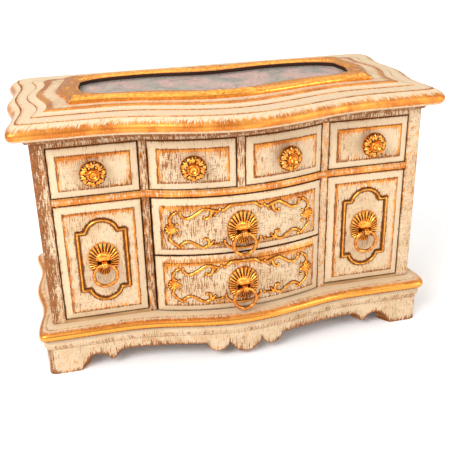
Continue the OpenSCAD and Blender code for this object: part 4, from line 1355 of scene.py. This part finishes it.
build_lid()
build_step()
build_gilt_frame()
build_plinth()
build_aprons()
build_stile(-1, "left_stile")
build_stile(1, "right_stile")
build_rails()
painted_board("left_partition", flat_values(0.25), reveal_values(0.52, FACE), PAINT_MOTTLED)
painted_board("right_partition", flat_values(0.2), reveal_values(0.08, FACE), PAINT_MOTTLED)
painted_board("back_panel", flat_values(0.0), flat_values(0.05, 0.3), PAINT)
build_dividers()
build_side(-1, "left_side")
build_side(1, "right_side")
build_fronts()
build_door_frame(-1, "left_door_frame", "left_door")
build_door_frame(1, "right_door_frame", "right_door")
for number, s, bowed in ((1, -1, False), (4, 1, False), (2, -1, True), (3, 1, True)):
    build_knob(number, s, bowed)
build_pulls()
build_scrollwork("drawer_5_scrollwork", "drawer_5", SCROLL_5)
build_scrollwork("drawer_6_scrollwork", "drawer_6", SCROLL_6)
build_rolls()
for number in range(1, 7):
    build_lining(number)


def dress(material, *nodes):
    """CAD nodes that keep their shape get their material."""
    for node in nodes:
        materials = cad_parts[node].data.materials
        materials.clear()
        materials.append(material)


dress(WOOD_X, "drawer_shelf", "base_board", "drawer_runners")
dress(WOOD_Y, *(f"drawer_{number}_box" for number in range(1, 7)))
dress(GLASS, "window_glass")
dress(PRINT, "print_panel")
dress(MIRROR, "lid_mirror")
dress(VELVET, "upper_tray")
dress(BRASS, "hook_rails", "door_pivots", "case_hinge_leaves", "lid_hinge_leaves")


# ---- Floor, light and camera --------------------------------------------

def build_floor():
    """A white floor that glows a little away from the chest, so that only its shadow shows."""
    mesh = bpy.data.meshes.new("floor")
    size = 12.0
    corners = [(-size, -size, 0), (size, -size, 0), (size, size, 0), (-size, size, 0)]
    mesh.from_pydata(corners, [], [(0, 1, 2, 3)])
    floor = bpy.data.objects.new("floor", mesh)
    bpy.context.scene.collection.objects.link(floor)
    g = Graph("floor_paper")
    tone = g.noise(g.object_mm(), 0.004, 2.0)
    colour = g.mix(tone, srgb(246, 246, 246), srgb(252, 252, 252))
    reach = g.node("VectorMath", {0: g.object_mm()}, operation="LENGTH").outputs["Value"]
    glow = g.blend(g.step(reach, 250, 900), 0.05, 0.45)
    paper = g.surface(colour, 0.9, {"Emission Color": srgb(255, 255, 255), "Emission Strength": glow})
    floor.data.materials.append(paper)


def area_light(name, place, size, power):
    """A rectangular light aimed at the chest's middle."""
    light = bpy.data.lights.new(name, "AREA")
    light.shape = "RECTANGLE"
    light.size, light.size_y = size
    light.energy = power
    obj = bpy.data.objects.new(name, light)
    obj.location = place
    obj.rotation_euler = (Vector((0, 0, 0.1)) - Vector(place)).to_track_quat("-Z", "Y").to_euler()
    bpy.context.scene.collection.objects.link(obj)


def build_world():
    """A white room that is darker low down, so that metal has something to mirror."""
    world = bpy.data.worlds.new("studio")
    world.use_nodes = True
    tree = world.node_tree
    back = tree.nodes["Background"]
    coords = tree.nodes.new("ShaderNodeTexCoord")
    split = tree.nodes.new("ShaderNodeSeparateXYZ")
    level = tree.nodes.new("ShaderNodeMapRange")
    for key, value in (("From Min", -0.1), ("From Max", 0.7), ("To Min", 0.35), ("To Max", 0.80)):
        level.inputs[key].default_value = value
    tree.links.new(coords.outputs["Generated"], split.inputs[0])
    tree.links.new(split.outputs["Z"], level.inputs["Value"])
    tree.links.new(level.outputs["Result"], back.inputs["Strength"])
    back.inputs["Color"].default_value = (1, 1, 1, 1)
    bpy.context.scene.world = world


def place_camera():
    data = bpy.data.cameras.new("camera")
    data.sensor_width = 36
    data.lens = 59.03
    camera = bpy.data.objects.new("camera", data)
    camera.location = (-0.1391, -0.6079, 0.3748)
    camera.rotation_euler = Euler((math.radians(65.41), math.radians(1.28), math.radians(-13.66)))
    bpy.context.scene.collection.objects.link(camera)
    bpy.context.scene.camera = camera


build_floor()
area_light("key", (-0.85, -0.7, 0.95), (0.8, 0.6), 14.5)
area_light("fill", (0.9, -0.9, 0.5), (0.5, 0.8), 4.6)
area_light("top", (0.1, 0.4, 1.5), (1.4, 1.0), 5)
build_world()
place_camera()
bpy.context.scene.view_settings.view_transform = "Standard"
